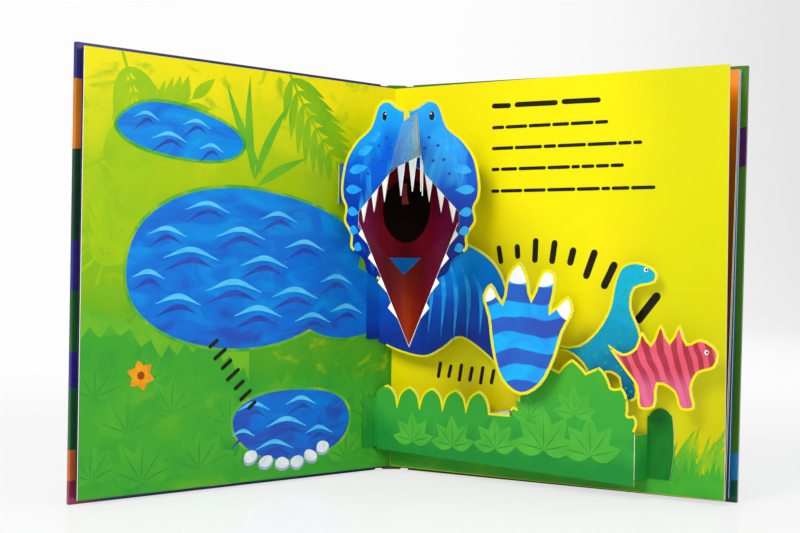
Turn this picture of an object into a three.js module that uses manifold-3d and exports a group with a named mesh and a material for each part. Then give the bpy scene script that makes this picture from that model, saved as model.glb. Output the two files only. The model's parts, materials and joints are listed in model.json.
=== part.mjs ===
// A hardcover pop-up picture book standing open on a table, with one spread raised.
// Millimetres, +Z up, the reader on the -Y side. Worked out about the gutter of the open spread,
// then moved so that the origin lies at the middle of the spine's foot.
import * as THREE from "three";
import { mergeVertices } from "three/addons/utils/BufferGeometryUtils.js";
import Module from "manifold-3d";

const wasm = await Module();
wasm.setup();

// Pages and covers
const pageWidth = 238;
const pageHeight = 264;
const halfOpening = THREE.MathUtils.degToRad(53.65); // each page's turn from the reader's line of sight
const square = 3; // how far the boards reach past the pages at head and foot
const boardOverhang = 2.5; // and past the pages' fore-edge
const boardThickness = 3;
const leafThickness = 0.9; // two printed cards glued back to back
const pastedownThickness = 0.4;
const pastedownMargin = 1.5; // how far the endpapers stop short of the pages' fore-edge

// Spine
const spineCentre = 1.1; // the right-hand stack is thicker, so the spine lies a little to the right
const spineBoardWidth = 13.2;
const spineBoardThickness = 2.5;
const coreDepth = 2.9; // the glued folds of the pages, from the gutter back to the spine board
const coreWidth = 10.4;
const hingeBead = 1.2; // radius of the cloth joint at each cover hinge
const jointStrip = 4.5; // width of the cloth joint between bead and board
const jointThickness = 1.4;

// Stack: how far each sheet lies behind the page it backs, at the fore-edge
const frontCoverGap = 5.3; // room for the closed first pop-up between leaf and front cover
const fanTop = [22.5, 24.2, 25.9]; // the closed leaves on the right, at the head
const fanBottom = [2.1, 4.8, 11.2]; // and at the foot
const backCoverTop = 28.6;
const backCoverBottom = 16.6;
const fanRoot = [2.1, 3.6, 5.1]; // where those leaves leave the core, to the right of the gutter
const fanInset = 1; // how far the closed leaves end inside the open page
const pastedownGutter = 9; // how far the front endpaper starts past the cloth joint

// Folded pop-ups of the closed spreads: how far each stays from the gutter, the fore-edge, and the
// page's foot and head, and how thick it is
const foldedBefore = { gutter: 34, foreEdge: 40, foot: 37, head: 41, thickness: 3.2 };
const foldedAfter = { gutter: 95, foreEdge: 42, foot: 147, head: 29, thickness: 2.6 };
const foldedLast = { gutterShare: 0.55, foreEdgeShare: 0.86, foot: 27, height: 70, thickness: 1.1 };

// Pop-up card
const card = 0.6;
const clearance = 0.35; // glue line between two pieces

// Head
const faceFold = [2, -72]; // plan position of the fold down the middle of the face
const faceLeft = [-38, -36];
const faceRight = [52, -62];
const faceHalfLeft = Math.hypot(faceLeft[0] - faceFold[0], faceLeft[1] - faceFold[1]);
const faceHalfRight = Math.hypot(faceRight[0] - faceFold[0], faceRight[1] - faceFold[1]);
const faceTop = 243;
const browTop = 251;
const faceBottom = 126;
const mouthTop = 211;
const mouthShoulder = [0.24, 203]; // share of the half width, height
const mouthCorner = [0.72, 178];
const mouthCornerLow = [0.72, 168];
const mouthBottom = 135;
const faceTeeth = 3; // on each side
const faceToothLength = 15;

// Snout and lower jaw
const snoutTop = [2.5, -140, 233];
const snoutTip = [3.5, -154, 206];
const snoutRootTop = 235;
const snoutRootShare = 0.05; // of the face's half width, at the top of the snout
const snoutTeeth = [0.42, 0.78]; // how far along each side's lower edge they hang
const snoutToothHalf = 0.12; // half a tooth's width, as a share of that edge
const snoutToothLength = 19;
const jawTip = [2, -115, 92.6];
const jawHinge = 137; // height of the jaw's fold on the face
const jawCorner = 171;
const jawCornerShare = 0.7;
const jawTeeth = 4;
const jawToothLength = 3.4;

// Mouth lining, in plan
const throatY = -38;
const throatLeft = -13;
const throatRight = 23;
const liningEdge = 0.78; // share of the face's half width
const liningTop = 216;
const liningWaist = 168; // below this height its sides narrow
const liningBottom = 148;
const liningFoot = [-16, 28]; // its width at the bottom, in plan

// Struts that hold the face off the pages
const faceStrutInner = 0.83; // shares of the face's half width, between which they are glued to it
const faceStrutOuter = 0.94;
const faceStrutLow = 184;
const faceStrutHigh = 211;
const faceStrutLeftPage = 50; // where they meet the pages, along each page from the gutter
const faceStrutRightPage = 66;

// Raised layers in front of the right-hand page
const bushOffset = 14.5;
const bushRight = 186;
const bushFootLeft = 16.6;
const bushFootRight = 8.6;
const hedgeTop = 61;
const hedgeValley = 51;
const hedgeLeaves = 5;
const hedgeRight = 86;
const notchFloor = 47;
const notchRight = 102;
const clumpTop = 84;
const clumpFoot = 42;
const clumpLeaves = 7;
const leafDepth = 6;
const bushWebRun = 3; // how far the web slants past the bushes on its way back to the page
const bushWebInset = 4;
const endLeaf = { width: 15, belly: [19, 34], shoulder: [16, 52], tip: [8, 62], gutterHeight: 50 };
const bodyOffset = 12.4;
const bodyRight = 98;
const bodyTabLow = 90;
const bodyTabHigh = 148;
const tabInset = 2; // how far a glue tab's ends stop short of the fold it hangs on
const pawOffset = 25;
const pawSpacer = { card: [86, 93], paw: [97, 106], low: 92, high: 116 };
const longneckOffset = 9;
const platebackOffset = 15;
const glueTab = 11;

// Struts behind those layers: where each leaves the page and meets its card, and its height
const bodyStrut = { page: 78, card: 82, low: 100, high: 136 };
const longneckStrut = { page: 168, card: 170, low: 84, high: 112 };
const platebackStrut = { page: 200, card: 206, low: 76, high: 94 };

const sinOpen = Math.sin(halfOpening);
const cosOpen = Math.cos(halfOpening);
const pageFoot = square;
const pageHead = square + pageHeight;
const boardHeight = pageHeight + 2 * square;
const spineY = coreDepth + clearance;

// Plan position of a point on the right-hand page, `along` from the gutter and `off` towards the reader.
const onRight = (along, off = 0) => [
  sinOpen * along - cosOpen * off,
  -cosOpen * along - sinOpen * off,
];
const onLeft = (along, off = 0) => [
  -sinOpen * along + cosOpen * off,
  -cosOpen * along - sinOpen * off,
];
const between = (a, b, t) => a.map((v, i) => v + (b[i] - v) * t);
const leftToRight = (a, b) => (a[0] < b[0] ? [a, b] : [b, a]);
const raised = (plan, z) => new THREE.Vector3(plan[0], plan[1], z);

// A closed geometry as a manifold-3d solid, and back again.
function solidOf(geometry) {
  const bare = geometry.index ? geometry.toNonIndexed() : geometry.clone();
  bare.deleteAttribute("normal");
  bare.deleteAttribute("uv");
  const merged = mergeVertices(bare, 1e-4);
  return new wasm.Manifold(
    new wasm.Mesh({
      numProp: 3,
      vertProperties: new Float32Array(merged.attributes.position.array),
      triVerts: new Uint32Array(merged.index.array),
    }),
  );
}

function geometryOf(solid) {
  const mesh = solid.getMesh();
  const geometry = new THREE.BufferGeometry();
  geometry.setAttribute("position", new THREE.BufferAttribute(new Float32Array(mesh.vertProperties), 3));
  geometry.setIndex(new THREE.BufferAttribute(new Uint32Array(mesh.triVerts), 1));
  const flat = geometry.toNonIndexed();
  flat.computeVertexNormals();
  return flat;
}

const join = (solids) => solids.reduce((all, one) => all.add(one));

// A closed outline through a few points: straight, or smooth.
function outline(points, smooth = 0) {
  const corners = points.map(([a, b]) => new THREE.Vector2(a, b));
  if (!smooth) return new THREE.Shape(corners);
  const curve = new THREE.CatmullRomCurve3(corners.map((p) => new THREE.Vector3(p.x, p.y, 0)), true);
  const ring = curve.getPoints(points.length * smooth).slice(0, -1);
  return new THREE.Shape(ring.map((p) => new THREE.Vector2(p.x, p.y)));
}

// An upright card from plan point `from` to `to`, left to right as the reader sees it. The shape's
// first number runs along the card and its second is the height; the card is centred on its line.
function upright(from, to, shape, thickness = card) {
  const along = new THREE.Vector3(to[0] - from[0], to[1] - from[1], 0).normalize();
  const up = new THREE.Vector3(0, 0, 1);
  const forward = new THREE.Vector3().crossVectors(along, up);
  const options = { depth: thickness, bevelEnabled: false, curveSegments: 6 };
  const geometry = new THREE.ExtrudeGeometry(shape, options);
  geometry.translate(0, 0, -thickness / 2);
  geometry.applyMatrix4(new THREE.Matrix4().makeBasis(along, up, forward).setPosition(from[0], from[1], 0));
  return solidOf(geometry);
}

const rectangle = (from, to, low, high) => {
  const width = Math.hypot(to[0] - from[0], to[1] - from[1]);
  return outline([[0, low], [width, low], [width, high], [0, high]]);
};
const wall = (from, to, low, high, thickness = card) =>
  upright(from, to, rectangle(from, to, low, high), thickness);

// A strip of card folded along upright lines at the given plan points, with mitred folds.
function foldedStrip(points, low, high, thickness = card) {
  const way = (a, b) => new THREE.Vector2(b[0] - a[0], b[1] - a[1]).normalize();
  const sideAt = (i) => {
    const before = way(points[Math.max(i - 1, 0)], points[Math.max(i, 1)]);
    const last = points.length - 1;
    const after = way(points[Math.min(i, last - 1)], points[Math.min(i + 1, last)]);
    const mitre = before.clone().add(after).normalize();
    const reach = thickness / 2 / mitre.dot(after);
    return new THREE.Vector2(-mitre.y, mitre.x).multiplyScalar(reach);
  };
  const edge = (sign) => points.map(([x, y], i) => {
    const side = sideAt(i);
    return new THREE.Vector2(x + sign * side.x, y + sign * side.y);
  });
  const plan = new THREE.Shape([...edge(1), ...edge(-1).reverse()]);
  const geometry = new THREE.ExtrudeGeometry(plan, { depth: high - low, bevelEnabled: false });
  geometry.translate(0, 0, low);
  return solidOf(geometry);
}

// A sheet spread between four corners, which may be twisted: near/far runs along the page.
function sheet(nearLow, farLow, farHigh, nearHigh, thickness, steps = [8, 6]) {
  const point = (i, j) => {
    const low = nearLow.clone().lerp(farLow, i / steps[0]);
    return low.lerp(nearHigh.clone().lerp(farHigh, i / steps[0]), j / steps[1]);
  };
  const across = farLow.clone().sub(nearLow).cross(nearHigh.clone().sub(nearLow));
  const half = across.normalize().multiplyScalar(thickness / 2);
  const positions = [];
  const corner = (i, j, side) => positions.push(...point(i, j).addScaledVector(half, side).toArray());
  const quad = (a, b, c, d) => [a, b, c, a, c, d].forEach((p) => corner(...p));
  for (let i = 0; i < steps[0]; i++) {
    for (let j = 0; j < steps[1]; j++) {
      quad([i, j, 1], [i + 1, j, 1], [i + 1, j + 1, 1], [i, j + 1, 1]);
      quad([i, j, -1], [i, j + 1, -1], [i + 1, j + 1, -1], [i + 1, j, -1]);
    }
  }
  for (let i = 0; i < steps[0]; i++) {
    quad([i, 0, -1], [i + 1, 0, -1], [i + 1, 0, 1], [i, 0, 1]);
    quad([i, steps[1], 1], [i + 1, steps[1], 1], [i + 1, steps[1], -1], [i, steps[1], -1]);
  }
  for (let j = 0; j < steps[1]; j++) {
    quad([0, j, 1], [0, j + 1, 1], [0, j + 1, -1], [0, j, -1]);
    quad([steps[0], j, -1], [steps[0], j + 1, -1], [steps[0], j + 1, 1], [steps[0], j, 1]);
  }
  const geometry = new THREE.BufferGeometry();
  geometry.setAttribute("position", new THREE.Float32BufferAttribute(positions, 3));
  return solidOf(geometry);
}

// A flat polygon in space, given thickness either side of its plane.
function plate(points, thickness = card) {
  const [origin, second] = points;
  const along = second.clone().sub(origin).normalize();
  const normal = along.clone().cross(points[points.length - 1].clone().sub(origin)).normalize();
  const up = normal.clone().cross(along);
  const flat = points.map((p) => {
    const d = p.clone().sub(origin);
    return [d.dot(along), d.dot(up)];
  });
  const geometry = new THREE.ExtrudeGeometry(outline(flat), { depth: thickness, bevelEnabled: false });
  geometry.translate(0, 0, -thickness / 2);
  geometry.applyMatrix4(new THREE.Matrix4().makeBasis(along, up, normal).setPosition(origin));
  return solidOf(geometry);
}

// Pages: the open leaf on each side and the closed leaves fanned on the right, one glued block.
const leafMid = leafThickness / 2;
const fanEdge = pageWidth - fanInset;
function fanLeafLine(k) {
  const near = [fanRoot[k], coreDepth * 0.35];
  const farLow = onRight(fanEdge, -fanBottom[k] - leafMid);
  const farHigh = onRight(fanEdge, -fanTop[k] - leafMid);
  return { near, farLow, farHigh };
}

function fanLeaf(k) {
  const { near, farLow, farHigh } = fanLeafLine(k);
  return sheet(
    raised(near, pageFoot),
    raised(farLow, pageFoot),
    raised(farHigh, pageHead),
    raised(near, pageHead),
    leafThickness,
  );
}

function openLeaf(place) {
  const [left, right] = leftToRight(place(0, -leafMid), place(pageWidth, -leafMid));
  return wall(left, right, pageFoot, pageHead, leafThickness);
}

function pageBlock() {
  const coreLeft = spineCentre - coreWidth / 2;
  const core = new THREE.Shape([
    new THREE.Vector2(0, 0),
    new THREE.Vector2(coreLeft + coreWidth, coreDepth * 0.4),
    new THREE.Vector2(coreLeft + coreWidth, coreDepth),
    new THREE.Vector2(coreLeft, coreDepth),
    new THREE.Vector2(coreLeft, coreDepth * 0.4),
  ]);
  const geometry = new THREE.ExtrudeGeometry(core, { depth: pageHeight, bevelEnabled: false });
  geometry.translate(0, 0, pageFoot);
  const leaves = [openLeaf(onLeft), openLeaf(onRight), ...fanRoot.map((_, k) => fanLeaf(k))];
  return join([solidOf(geometry), ...leaves]);
}

// Covers: each hinges about an upright line beside the spine board.
const hingeX = spineBoardWidth / 2 + hingeBead + clearance;
const hingeY = spineY + spineBoardThickness / 2;
const frontHinge = [spineCentre - hingeX, hingeY];
const backHinge = [spineCentre + hingeX, hingeY];
const boardFar = pageWidth + boardOverhang;
const frontMid = -frontCoverGap - clearance - pastedownThickness - boardThickness / 2;

const towards = (from, to, distance) =>
  between(from, to, distance / Math.hypot(to[0] - from[0], to[1] - from[1]));

// The cloth joint of a cover: a bead on the hinge line and a strip out to the board.
function clothJoint(hinge, far) {
  const bead = new THREE.CylinderGeometry(hingeBead, hingeBead, boardHeight, 12);
  bead.rotateX(Math.PI / 2).translate(hinge[0], hinge[1], boardHeight / 2);
  const out = towards(hinge, far, jointStrip + 0.5);
  const [left, right] = leftToRight(out, hinge);
  return join([solidOf(bead), wall(left, right, 0, boardHeight, jointThickness)]);
}

function frontBoard() {
  const far = onLeft(boardFar, frontMid);
  const near = towards(frontHinge, far, jointStrip);
  return join([wall(far, near, 0, boardHeight, boardThickness), clothJoint(frontHinge, far)]);
}

function frontPastedown() {
  const middle = frontMid + boardThickness / 2 + clearance + pastedownThickness / 2;
  const far = onLeft(pageWidth - pastedownMargin, middle);
  const near = onLeft(jointStrip + pastedownGutter, middle);
  return wall(far, near, pageFoot, pageHead, pastedownThickness);
}

// The back cover is warped: its fore-edge leans away from the pages at the head.
const backFar = (extra, low) =>
  onRight(boardFar, -(low ? backCoverBottom : backCoverTop) - boardThickness / 2 + extra);

function backBoard() {
  const [farLow, farHigh] = [backFar(0, true), backFar(0, false)];
  const nearLow = towards(backHinge, farLow, jointStrip);
  const nearHigh = towards(backHinge, farHigh, jointStrip);
  const board = sheet(
    raised(nearLow, 0),
    raised(farLow, 0),
    raised(farHigh, boardHeight),
    raised(nearHigh, boardHeight),
    boardThickness,
  );
  return join([board, clothJoint(backHinge, between(farLow, farHigh, 0.5))]);
}

function backPastedown() {
  const lift = boardThickness / 2 + clearance + pastedownThickness / 2;
  const offBoard = (far, share) => {
    const middle = between(backHinge, far, share);
    const length = Math.hypot(far[0] - backHinge[0], far[1] - backHinge[1]);
    const normal = [(far[1] - backHinge[1]) / length, -(far[0] - backHinge[0]) / length];
    return [middle[0] + normal[0] * lift, middle[1] + normal[1] * lift];
  };
  const nearShare = (jointStrip + 4) / boardFar;
  const farShare = 1 - (boardOverhang + pastedownMargin) / boardFar;
  const level = (z) => between(backFar(0, true), backFar(0, false), z / boardHeight);
  return sheet(
    raised(offBoard(level(pageFoot), nearShare), pageFoot),
    raised(offBoard(level(pageFoot), farShare), pageFoot),
    raised(offBoard(level(pageHead), farShare), pageHead),
    raised(offBoard(level(pageHead), nearShare), pageHead),
    pastedownThickness,
  );
}

function spineBoard() {
  const left = [spineCentre - spineBoardWidth / 2, hingeY];
  const right = [spineCentre + spineBoardWidth / 2, hingeY];
  return wall(left, right, 0, boardHeight, spineBoardThickness);
}

// The pop-ups of the spreads that are closed, folded flat behind an open leaf or in the fan.
function foldedBehind(place, pack) {
  const middle = -leafThickness - clearance - pack.thickness / 2;
  const [left, right] = leftToRight(place(pack.gutter, middle), place(pageWidth - pack.foreEdge, middle));
  return wall(left, right, pageFoot + pack.foot, pageHead - pack.head, pack.thickness);
}

function foldedBehindFan() {
  const { near, farLow, farHigh } = fanLeafLine(1);
  const { gutterShare, foreEdgeShare, foot, height, thickness } = foldedLast;
  const behind = leafMid + clearance + thickness / 2;
  const at = (share, z) => {
    const far = between(farLow, farHigh, (z - pageFoot) / pageHeight);
    const middle = between(near, far, share);
    return raised([middle[0] + cosOpen * behind, middle[1] + sinOpen * behind], z);
  };
  const [low, high] = [pageFoot + foot, pageFoot + foot + height];
  return sheet(
    at(gutterShare, low),
    at(foreEdgeShare, low),
    at(foreEdgeShare, high),
    at(gutterShare, high),
    thickness,
  );
}

// Face: two panels meeting in an upright fold, with a mouth cut through both.
// Points are a share of the panel's width and a height.
const faceOutline = [
  [0, faceTop],
  [0.13, faceTop + 3],
  [0.28, browTop],
  [0.44, browTop - 3],
  [0.56, 234],
  [0.76, 226],
  [0.93, 214],
  [1, 198],
  [0.99, 188],
  [0.93, 181],
  [0.95, 172],
  [0.84, 163],
  [0.83, 154],
  [0.64, 147],
  [0.56, 138],
  [0.34, 132],
  [0.2, faceBottom],
  [0, faceBottom - 2],
];

function faceShape(width) {
  const [first, ...rest] = faceOutline.map(([share, z]) => new THREE.Vector2(share * width, z));
  const shape = new THREE.Shape();
  shape.moveTo(first.x, first.y);
  shape.splineThru(rest);
  shape.lineTo(first.x, first.y);
  return shape;
}

// The mouth opening of one panel, with pointed teeth hanging from its upper rim.
function mouthShape(width) {
  const at = ([share, z]) => [share * width, z];
  const shoulder = at(mouthShoulder);
  const corner = at(mouthCorner);
  const rim = [];
  for (let i = 0; i < faceTeeth; i++) {
    const start = between(shoulder, corner, (i + 0.08) / faceTeeth);
    const end = between(shoulder, corner, (i + 0.72) / faceTeeth);
    const middle = between(start, end, 0.62);
    rim.push(start, [middle[0], middle[1] - faceToothLength * (1 - 0.12 * i)], end);
  }
  const past = -1; // a little over the fold, so that the two panels' openings meet
  return outline([
    [past, mouthTop], [0, mouthTop], shoulder, ...rim, corner, at(mouthCornerLow),
    [0, mouthBottom], [past, mouthBottom],
  ]);
}

const mirrored = (shape) =>
  new THREE.Shape(shape.getPoints(6).map((p) => new THREE.Vector2(-p.x, p.y)));

function faceCard() {
  const pastFold = between(faceLeft, faceFold, 2); // on the left panel's line, to the right of the fold
  const cutDepth = 20 * card;
  const left = (shape, thickness) => upright(faceFold, pastFold, mirrored(shape), thickness);
  const right = (shape, thickness) => upright(faceFold, faceRight, shape, thickness);
  return join([left(faceShape(faceHalfLeft)), right(faceShape(faceHalfRight))])
    .subtract(left(mouthShape(faceHalfLeft), cutDepth))
    .subtract(right(mouthShape(faceHalfRight), cutDepth));
}

// A point `lift` in front of a face panel, or behind it where that is negative.
const faceSeat = card + clearance;
const onFace = (far, half, share, z, lift) => {
  const plan = between(faceFold, far, share);
  const side = far[0] < faceFold[0] ? lift / half : -lift / half;
  return raised([plan[0] - side * (far[1] - faceFold[1]), plan[1] + side * (far[0] - faceFold[0])], z);
};

// Snout: two curved panels from the face to a shared front fold, with teeth on their lower edges.
function snoutSide(far, half) {
  const rootTop = onFace(far, half, snoutRootShare, snoutRootTop, faceSeat);
  const rootLow = onFace(far, half, mouthShoulder[0], mouthShoulder[1] + 1, faceSeat);
  const [top, tip] = [new THREE.Vector3(...snoutTop), new THREE.Vector3(...snoutTip)];
  const side = sheet(rootLow, tip, top, rootTop, card, [6, 4]);
  const teeth = snoutTeeth.map((share) => {
    const start = rootLow.clone().lerp(tip, share - snoutToothHalf);
    const end = rootLow.clone().lerp(tip, share + snoutToothHalf);
    const point = start.clone().lerp(end, 0.5);
    point.z -= snoutToothLength;
    const lift = new THREE.Vector3(0, 0, 2);
    return plate([point, end.clone().add(lift), start.clone().add(lift)]);
  });
  return join([side, ...teeth]);
}

const snoutCard = () => join([snoutSide(faceLeft, faceHalfLeft), snoutSide(faceRight, faceHalfRight)]);

// Lower jaw: two triangles meeting in a sloping fold, with small teeth along their outer edges.
function jawSide(far, half) {
  const corner = onFace(far, half, jawCornerShare, jawCorner, faceSeat);
  const hinge = onFace(far, half, 0, jawHinge, faceSeat + 0.4);
  const tip = new THREE.Vector3(...jawTip);
  const rim = [];
  const edge = tip.clone().sub(corner);
  const outward = edge.clone().cross(hinge.clone().sub(corner)).cross(edge).normalize().negate();
  for (let i = 0; i < jawTeeth; i++) {
    const start = corner.clone().lerp(tip, 0.06 + (i * 0.8) / jawTeeth);
    const end = corner.clone().lerp(tip, 0.06 + ((i + 0.62) * 0.8) / jawTeeth);
    rim.push(start, start.clone().lerp(end, 0.3).addScaledVector(outward, jawToothLength), end);
  }
  return plate([hinge, corner, ...rim, tip]);
}

const jawCard = () => join([jawSide(faceLeft, faceHalfLeft), jawSide(faceRight, faceHalfRight)]);

// Lining: a shallow pocket behind the mouth, open at head and foot.
function liningCard() {
  const leftEdge = onFace(faceLeft, faceHalfLeft, liningEdge, 0, -faceSeat);
  const rightEdge = onFace(faceRight, faceHalfRight, liningEdge, 0, -faceSeat);
  const strip = foldedStrip(
    [[leftEdge.x, leftEdge.y], [throatLeft, throatY], [throatRight, throatY], [rightEdge.x, rightEdge.y]],
    liningBottom - 1,
    liningTop,
  );
  const past = 2;
  const [left, right] = [leftEdge.x - past, rightEdge.x + past];
  const front = outline([
    [left, liningWaist], [liningFoot[0], liningBottom], [liningFoot[1], liningBottom],
    [right, liningWaist], [right, liningTop + past], [left, liningTop + past],
  ]);
  const middle = (throatY + faceFold[1]) / 2;
  const depth = 2 * (throatY - faceFold[1]);
  return strip.intersect(upright([0, middle], [1, middle], front, depth));
}

// A strut: a strip with a glue tab on a raised card's back, a web, and a glue tab on a page.
const pageLift = clearance + card / 2; // the middle of a card glued to a page
function strut(cardOffset, { page, card: cardAlong, low, high }) {
  const back = cardOffset - card - clearance;
  const points = [
    onRight(cardAlong + glueTab, back),
    onRight(cardAlong, back),
    onRight(page, pageLift),
    onRight(page + glueTab, pageLift),
  ];
  return foldedStrip(points, low, high);
}

// The face's two struts, from its back to the page on each side.
function faceStrut(far, half, place, along) {
  const inner = onFace(far, half, faceStrutInner, 0, -faceSeat);
  const outer = onFace(far, half, faceStrutOuter, 0, -faceSeat);
  return foldedStrip(
    [[inner.x, inner.y], [outer.x, outer.y], place(along, pageLift), place(along - glueTab, pageLift)],
    faceStrutLow,
    faceStrutHigh,
  );
}

// A card beside the right page that starts from a glue tab on the left page: where its first fold
// lies, measured along the right page, and where the tab ends.
const tabLift = clearance + card;
function foldOverLeftPage(offset) {
  const opening = 2 * halfOpening;
  return offset / Math.tan(opening) + tabLift / Math.sin(opening);
}
function pageTabEnd(fold) {
  const along = -sinOpen * fold[0] - cosOpen * fold[1];
  return onLeft(along + glueTab, tabLift);
}

// Bushes: a long card that starts from a tab on the left page and returns to the right page.
const bushLeft = foldOverLeftPage(bushOffset);

function bushShape() {
  const shape = new THREE.Shape();
  const length = bushRight - bushLeft;
  const s = (along) => along - bushLeft;
  shape.moveTo(0, bushFootLeft);
  shape.lineTo(length, bushFootRight);
  shape.lineTo(length, clumpFoot);
  const clumpCentre = (notchRight + bushRight) / 2;
  const clumpHalf = (bushRight - notchRight) / 2;
  for (let i = 0; i < clumpLeaves; i++) {
    const arch = (t) => {
      const angle = Math.PI * t;
      const rise = (clumpTop - clumpFoot) * Math.sin(angle);
      return [clumpCentre + clumpHalf * Math.cos(angle), clumpFoot + rise];
    };
    const tip = arch((i + 0.5) / clumpLeaves);
    const valley = arch(Math.min((i + 1) / clumpLeaves, 0.97));
    const shrink = i === clumpLeaves - 1 ? 0 : leafDepth;
    const down = [valley[0], valley[1] - shrink];
    shape.quadraticCurveTo(s(tip[0]) + 5, tip[1] - 2, s(tip[0]), tip[1] + 1);
    shape.quadraticCurveTo(s(tip[0]) - 5, tip[1] - 1, s(down[0]), down[1]);
  }
  shape.lineTo(s(notchRight), notchFloor);
  shape.lineTo(s(hedgeRight), notchFloor);
  const pitch = (hedgeRight - bushLeft) / hedgeLeaves;
  for (let i = hedgeLeaves - 1; i >= 0; i--) {
    const left = i * pitch;
    shape.quadraticCurveTo(left + 0.95 * pitch, hedgeTop - 3, left + 0.55 * pitch, hedgeTop);
    shape.quadraticCurveTo(left + 0.1 * pitch, hedgeTop - 2, left, i ? hedgeValley : hedgeTop - 8);
  }
  return shape;
}

function bushCard() {
  const fold = onRight(bushLeft, bushOffset);
  const front = upright(fold, onRight(bushRight, bushOffset), bushShape());
  const tab = wall(pageTabEnd(fold), fold, bushFootLeft + 1, hedgeTop - 9);
  const back = onRight(bushRight + bushWebRun, pageLift);
  const webFoot = bushFootRight + bushWebInset;
  const web = wall(onRight(bushRight, bushOffset), back, webFoot, clumpFoot - tabInset);
  const leaf = new THREE.Shape();
  leaf.moveTo(0, webFoot);
  leaf.lineTo(endLeaf.width, webFoot);
  leaf.quadraticCurveTo(...endLeaf.belly, ...endLeaf.shoulder);
  leaf.quadraticCurveTo(...endLeaf.tip, 0, endLeaf.gutterHeight);
  const endTab = upright(back, onRight(bushRight + bushWebRun + 1, pageLift), leaf);
  return join([front, tab, web, endTab]);
}

// The shoulder of the raised creature, floating beside the page from a tab on the left page.
const bodyLeft = foldOverLeftPage(bodyOffset);
const shoulderTop = [
  [20, 154], [44, 158], [62, 159], [80, 151], [92, 138], [bodyRight, 118], [bodyRight, 92],
];
const shoulderFoot = [
  [bodyRight - 3, 72], [82, 84], [62, 95], [48, 87], [34, 81], [14, 84], [bodyLeft, bodyTabLow],
];

function bodyCard() {
  const s = ([along, z]) => new THREE.Vector2(along - bodyLeft, z);
  const shape = new THREE.Shape();
  shape.moveTo(0, bodyTabLow);
  shape.lineTo(0, bodyTabHigh);
  shape.splineThru(shoulderTop.map(s));
  shape.splineThru(shoulderFoot.map(s));
  const fold = onRight(bodyLeft, bodyOffset);
  const shoulder = upright(fold, onRight(bodyRight, bodyOffset), shape);
  return join([shoulder, wall(pageTabEnd(fold), fold, bodyTabLow + tabInset, bodyTabHigh - tabInset)]);
}

// Smooth outlines on the right-hand page: distance from the gutter and height.
const pawPoints = [
  [113, 61], [99, 70], [92, 90], [89, 110], [85, 124], [91, 132], [99, 121], [103, 138], [111, 146],
  [117, 137], [120, 124], [128, 141], [136, 139], [136, 126], [134, 116], [145, 125], [149, 116],
  [142, 102], [137, 86], [127, 68],
];
const longneckPoints = [
  [129, 92], [146, 94], [158, 104], [166, 118], [169, 133], [174, 144], [184, 147], [197, 141], [196, 134],
  [183, 130], [181, 118], [186, 106], [189, 92], [184, 80], [185, 62], [175, 60], [173, 74], [165, 77],
  [163, 62], [154, 60], [151, 78], [142, 87],
];
const platebackPoints = [
  [168, 95], [178, 90], [186, 94], [190, 104], [196, 97], [202, 109], [208, 99], [214, 109], [219, 98],
  [227, 101], [238, 94], [236, 84], [226, 80], [222, 71], [224, 59], [215, 58], [211, 68], [201, 72],
  [199, 58], [189, 57], [187, 70], [180, 79],
];

function cutout(points, offset) {
  return upright(onRight(0, offset), onRight(1, offset), outline(points, 3));
}

// A spacer between the shoulder card and the paw in front of it.
function spacerBehindPaw() {
  const [onCard, onPaw] = [bodyOffset + card + clearance, pawOffset - card - clearance];
  const points = [
    ...pawSpacer.card.map((along) => onRight(along, onCard)),
    ...pawSpacer.paw.map((along) => onRight(along, onPaw)),
  ];
  return foldedStrip(points, pawSpacer.low, pawSpacer.high);
}

const colours = {
  yellow: 0xf0e500, navy: 0x2a2a6e, purple: 0x5a2a78, green: 0x3f7a10, blue: 0x1e78e0, sky: 0x2a9be8,
  maroon: 0x6a0f1e, red: 0x9a2030, leaf: 0x3c9e2e, teal: 0x1fa3b5, pink: 0xe0607a, paper: 0xe9e6da,
};

const book = new THREE.Group();
book.position.set(-spineCentre, -hingeY, 0);

function addPiece(name, solid, colour, roughness) {
  const material = new THREE.MeshStandardMaterial({ color: colour, roughness, metalness: 0 });
  const mesh = new THREE.Mesh(geometryOf(solid), material);
  mesh.name = name;
  book.add(mesh);
}

addPiece("page_block", pageBlock(), colours.yellow, 0.35);
addPiece("spine_board", spineBoard(), colours.green, 0.3);
addPiece("front_board", frontBoard(), colours.navy, 0.3);
addPiece("back_board", backBoard(), colours.green, 0.3);
addPiece("front_pastedown", frontPastedown(), colours.purple, 0.35);
addPiece("back_pastedown", backPastedown(), colours.blue, 0.35);
addPiece("folded_popup_before", foldedBehind(onLeft, foldedBefore), colours.paper, 0.6);
addPiece("folded_popup_after", foldedBehind(onRight, foldedAfter), colours.paper, 0.6);
addPiece("folded_popup_last", foldedBehindFan(), colours.paper, 0.6);
addPiece("face_card", faceCard(), colours.blue, 0.3);
addPiece("snout_card", snoutCard(), colours.sky, 0.25);
addPiece("lower_jaw_card", jawCard(), colours.red, 0.3);
addPiece("mouth_lining_card", liningCard(), colours.maroon, 0.35);
const leftStrut = faceStrut(faceLeft, faceHalfLeft, onLeft, faceStrutLeftPage);
const rightStrut = faceStrut(faceRight, faceHalfRight, onRight, faceStrutRightPage);
addPiece("face_strut_left", leftStrut, colours.paper, 0.6);
addPiece("face_strut_right", rightStrut, colours.paper, 0.6);
addPiece("body_card", bodyCard(), colours.sky, 0.3);
addPiece("body_strut", strut(bodyOffset, bodyStrut), colours.paper, 0.6);
addPiece("paw_card", cutout(pawPoints, pawOffset), colours.sky, 0.3);
addPiece("paw_spacer", spacerBehindPaw(), colours.paper, 0.6);
addPiece("bush_card", bushCard(), colours.leaf, 0.3);
addPiece("longneck_card", cutout(longneckPoints, longneckOffset), colours.teal, 0.3);
addPiece("longneck_strut", strut(longneckOffset, longneckStrut), colours.paper, 0.6);
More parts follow.
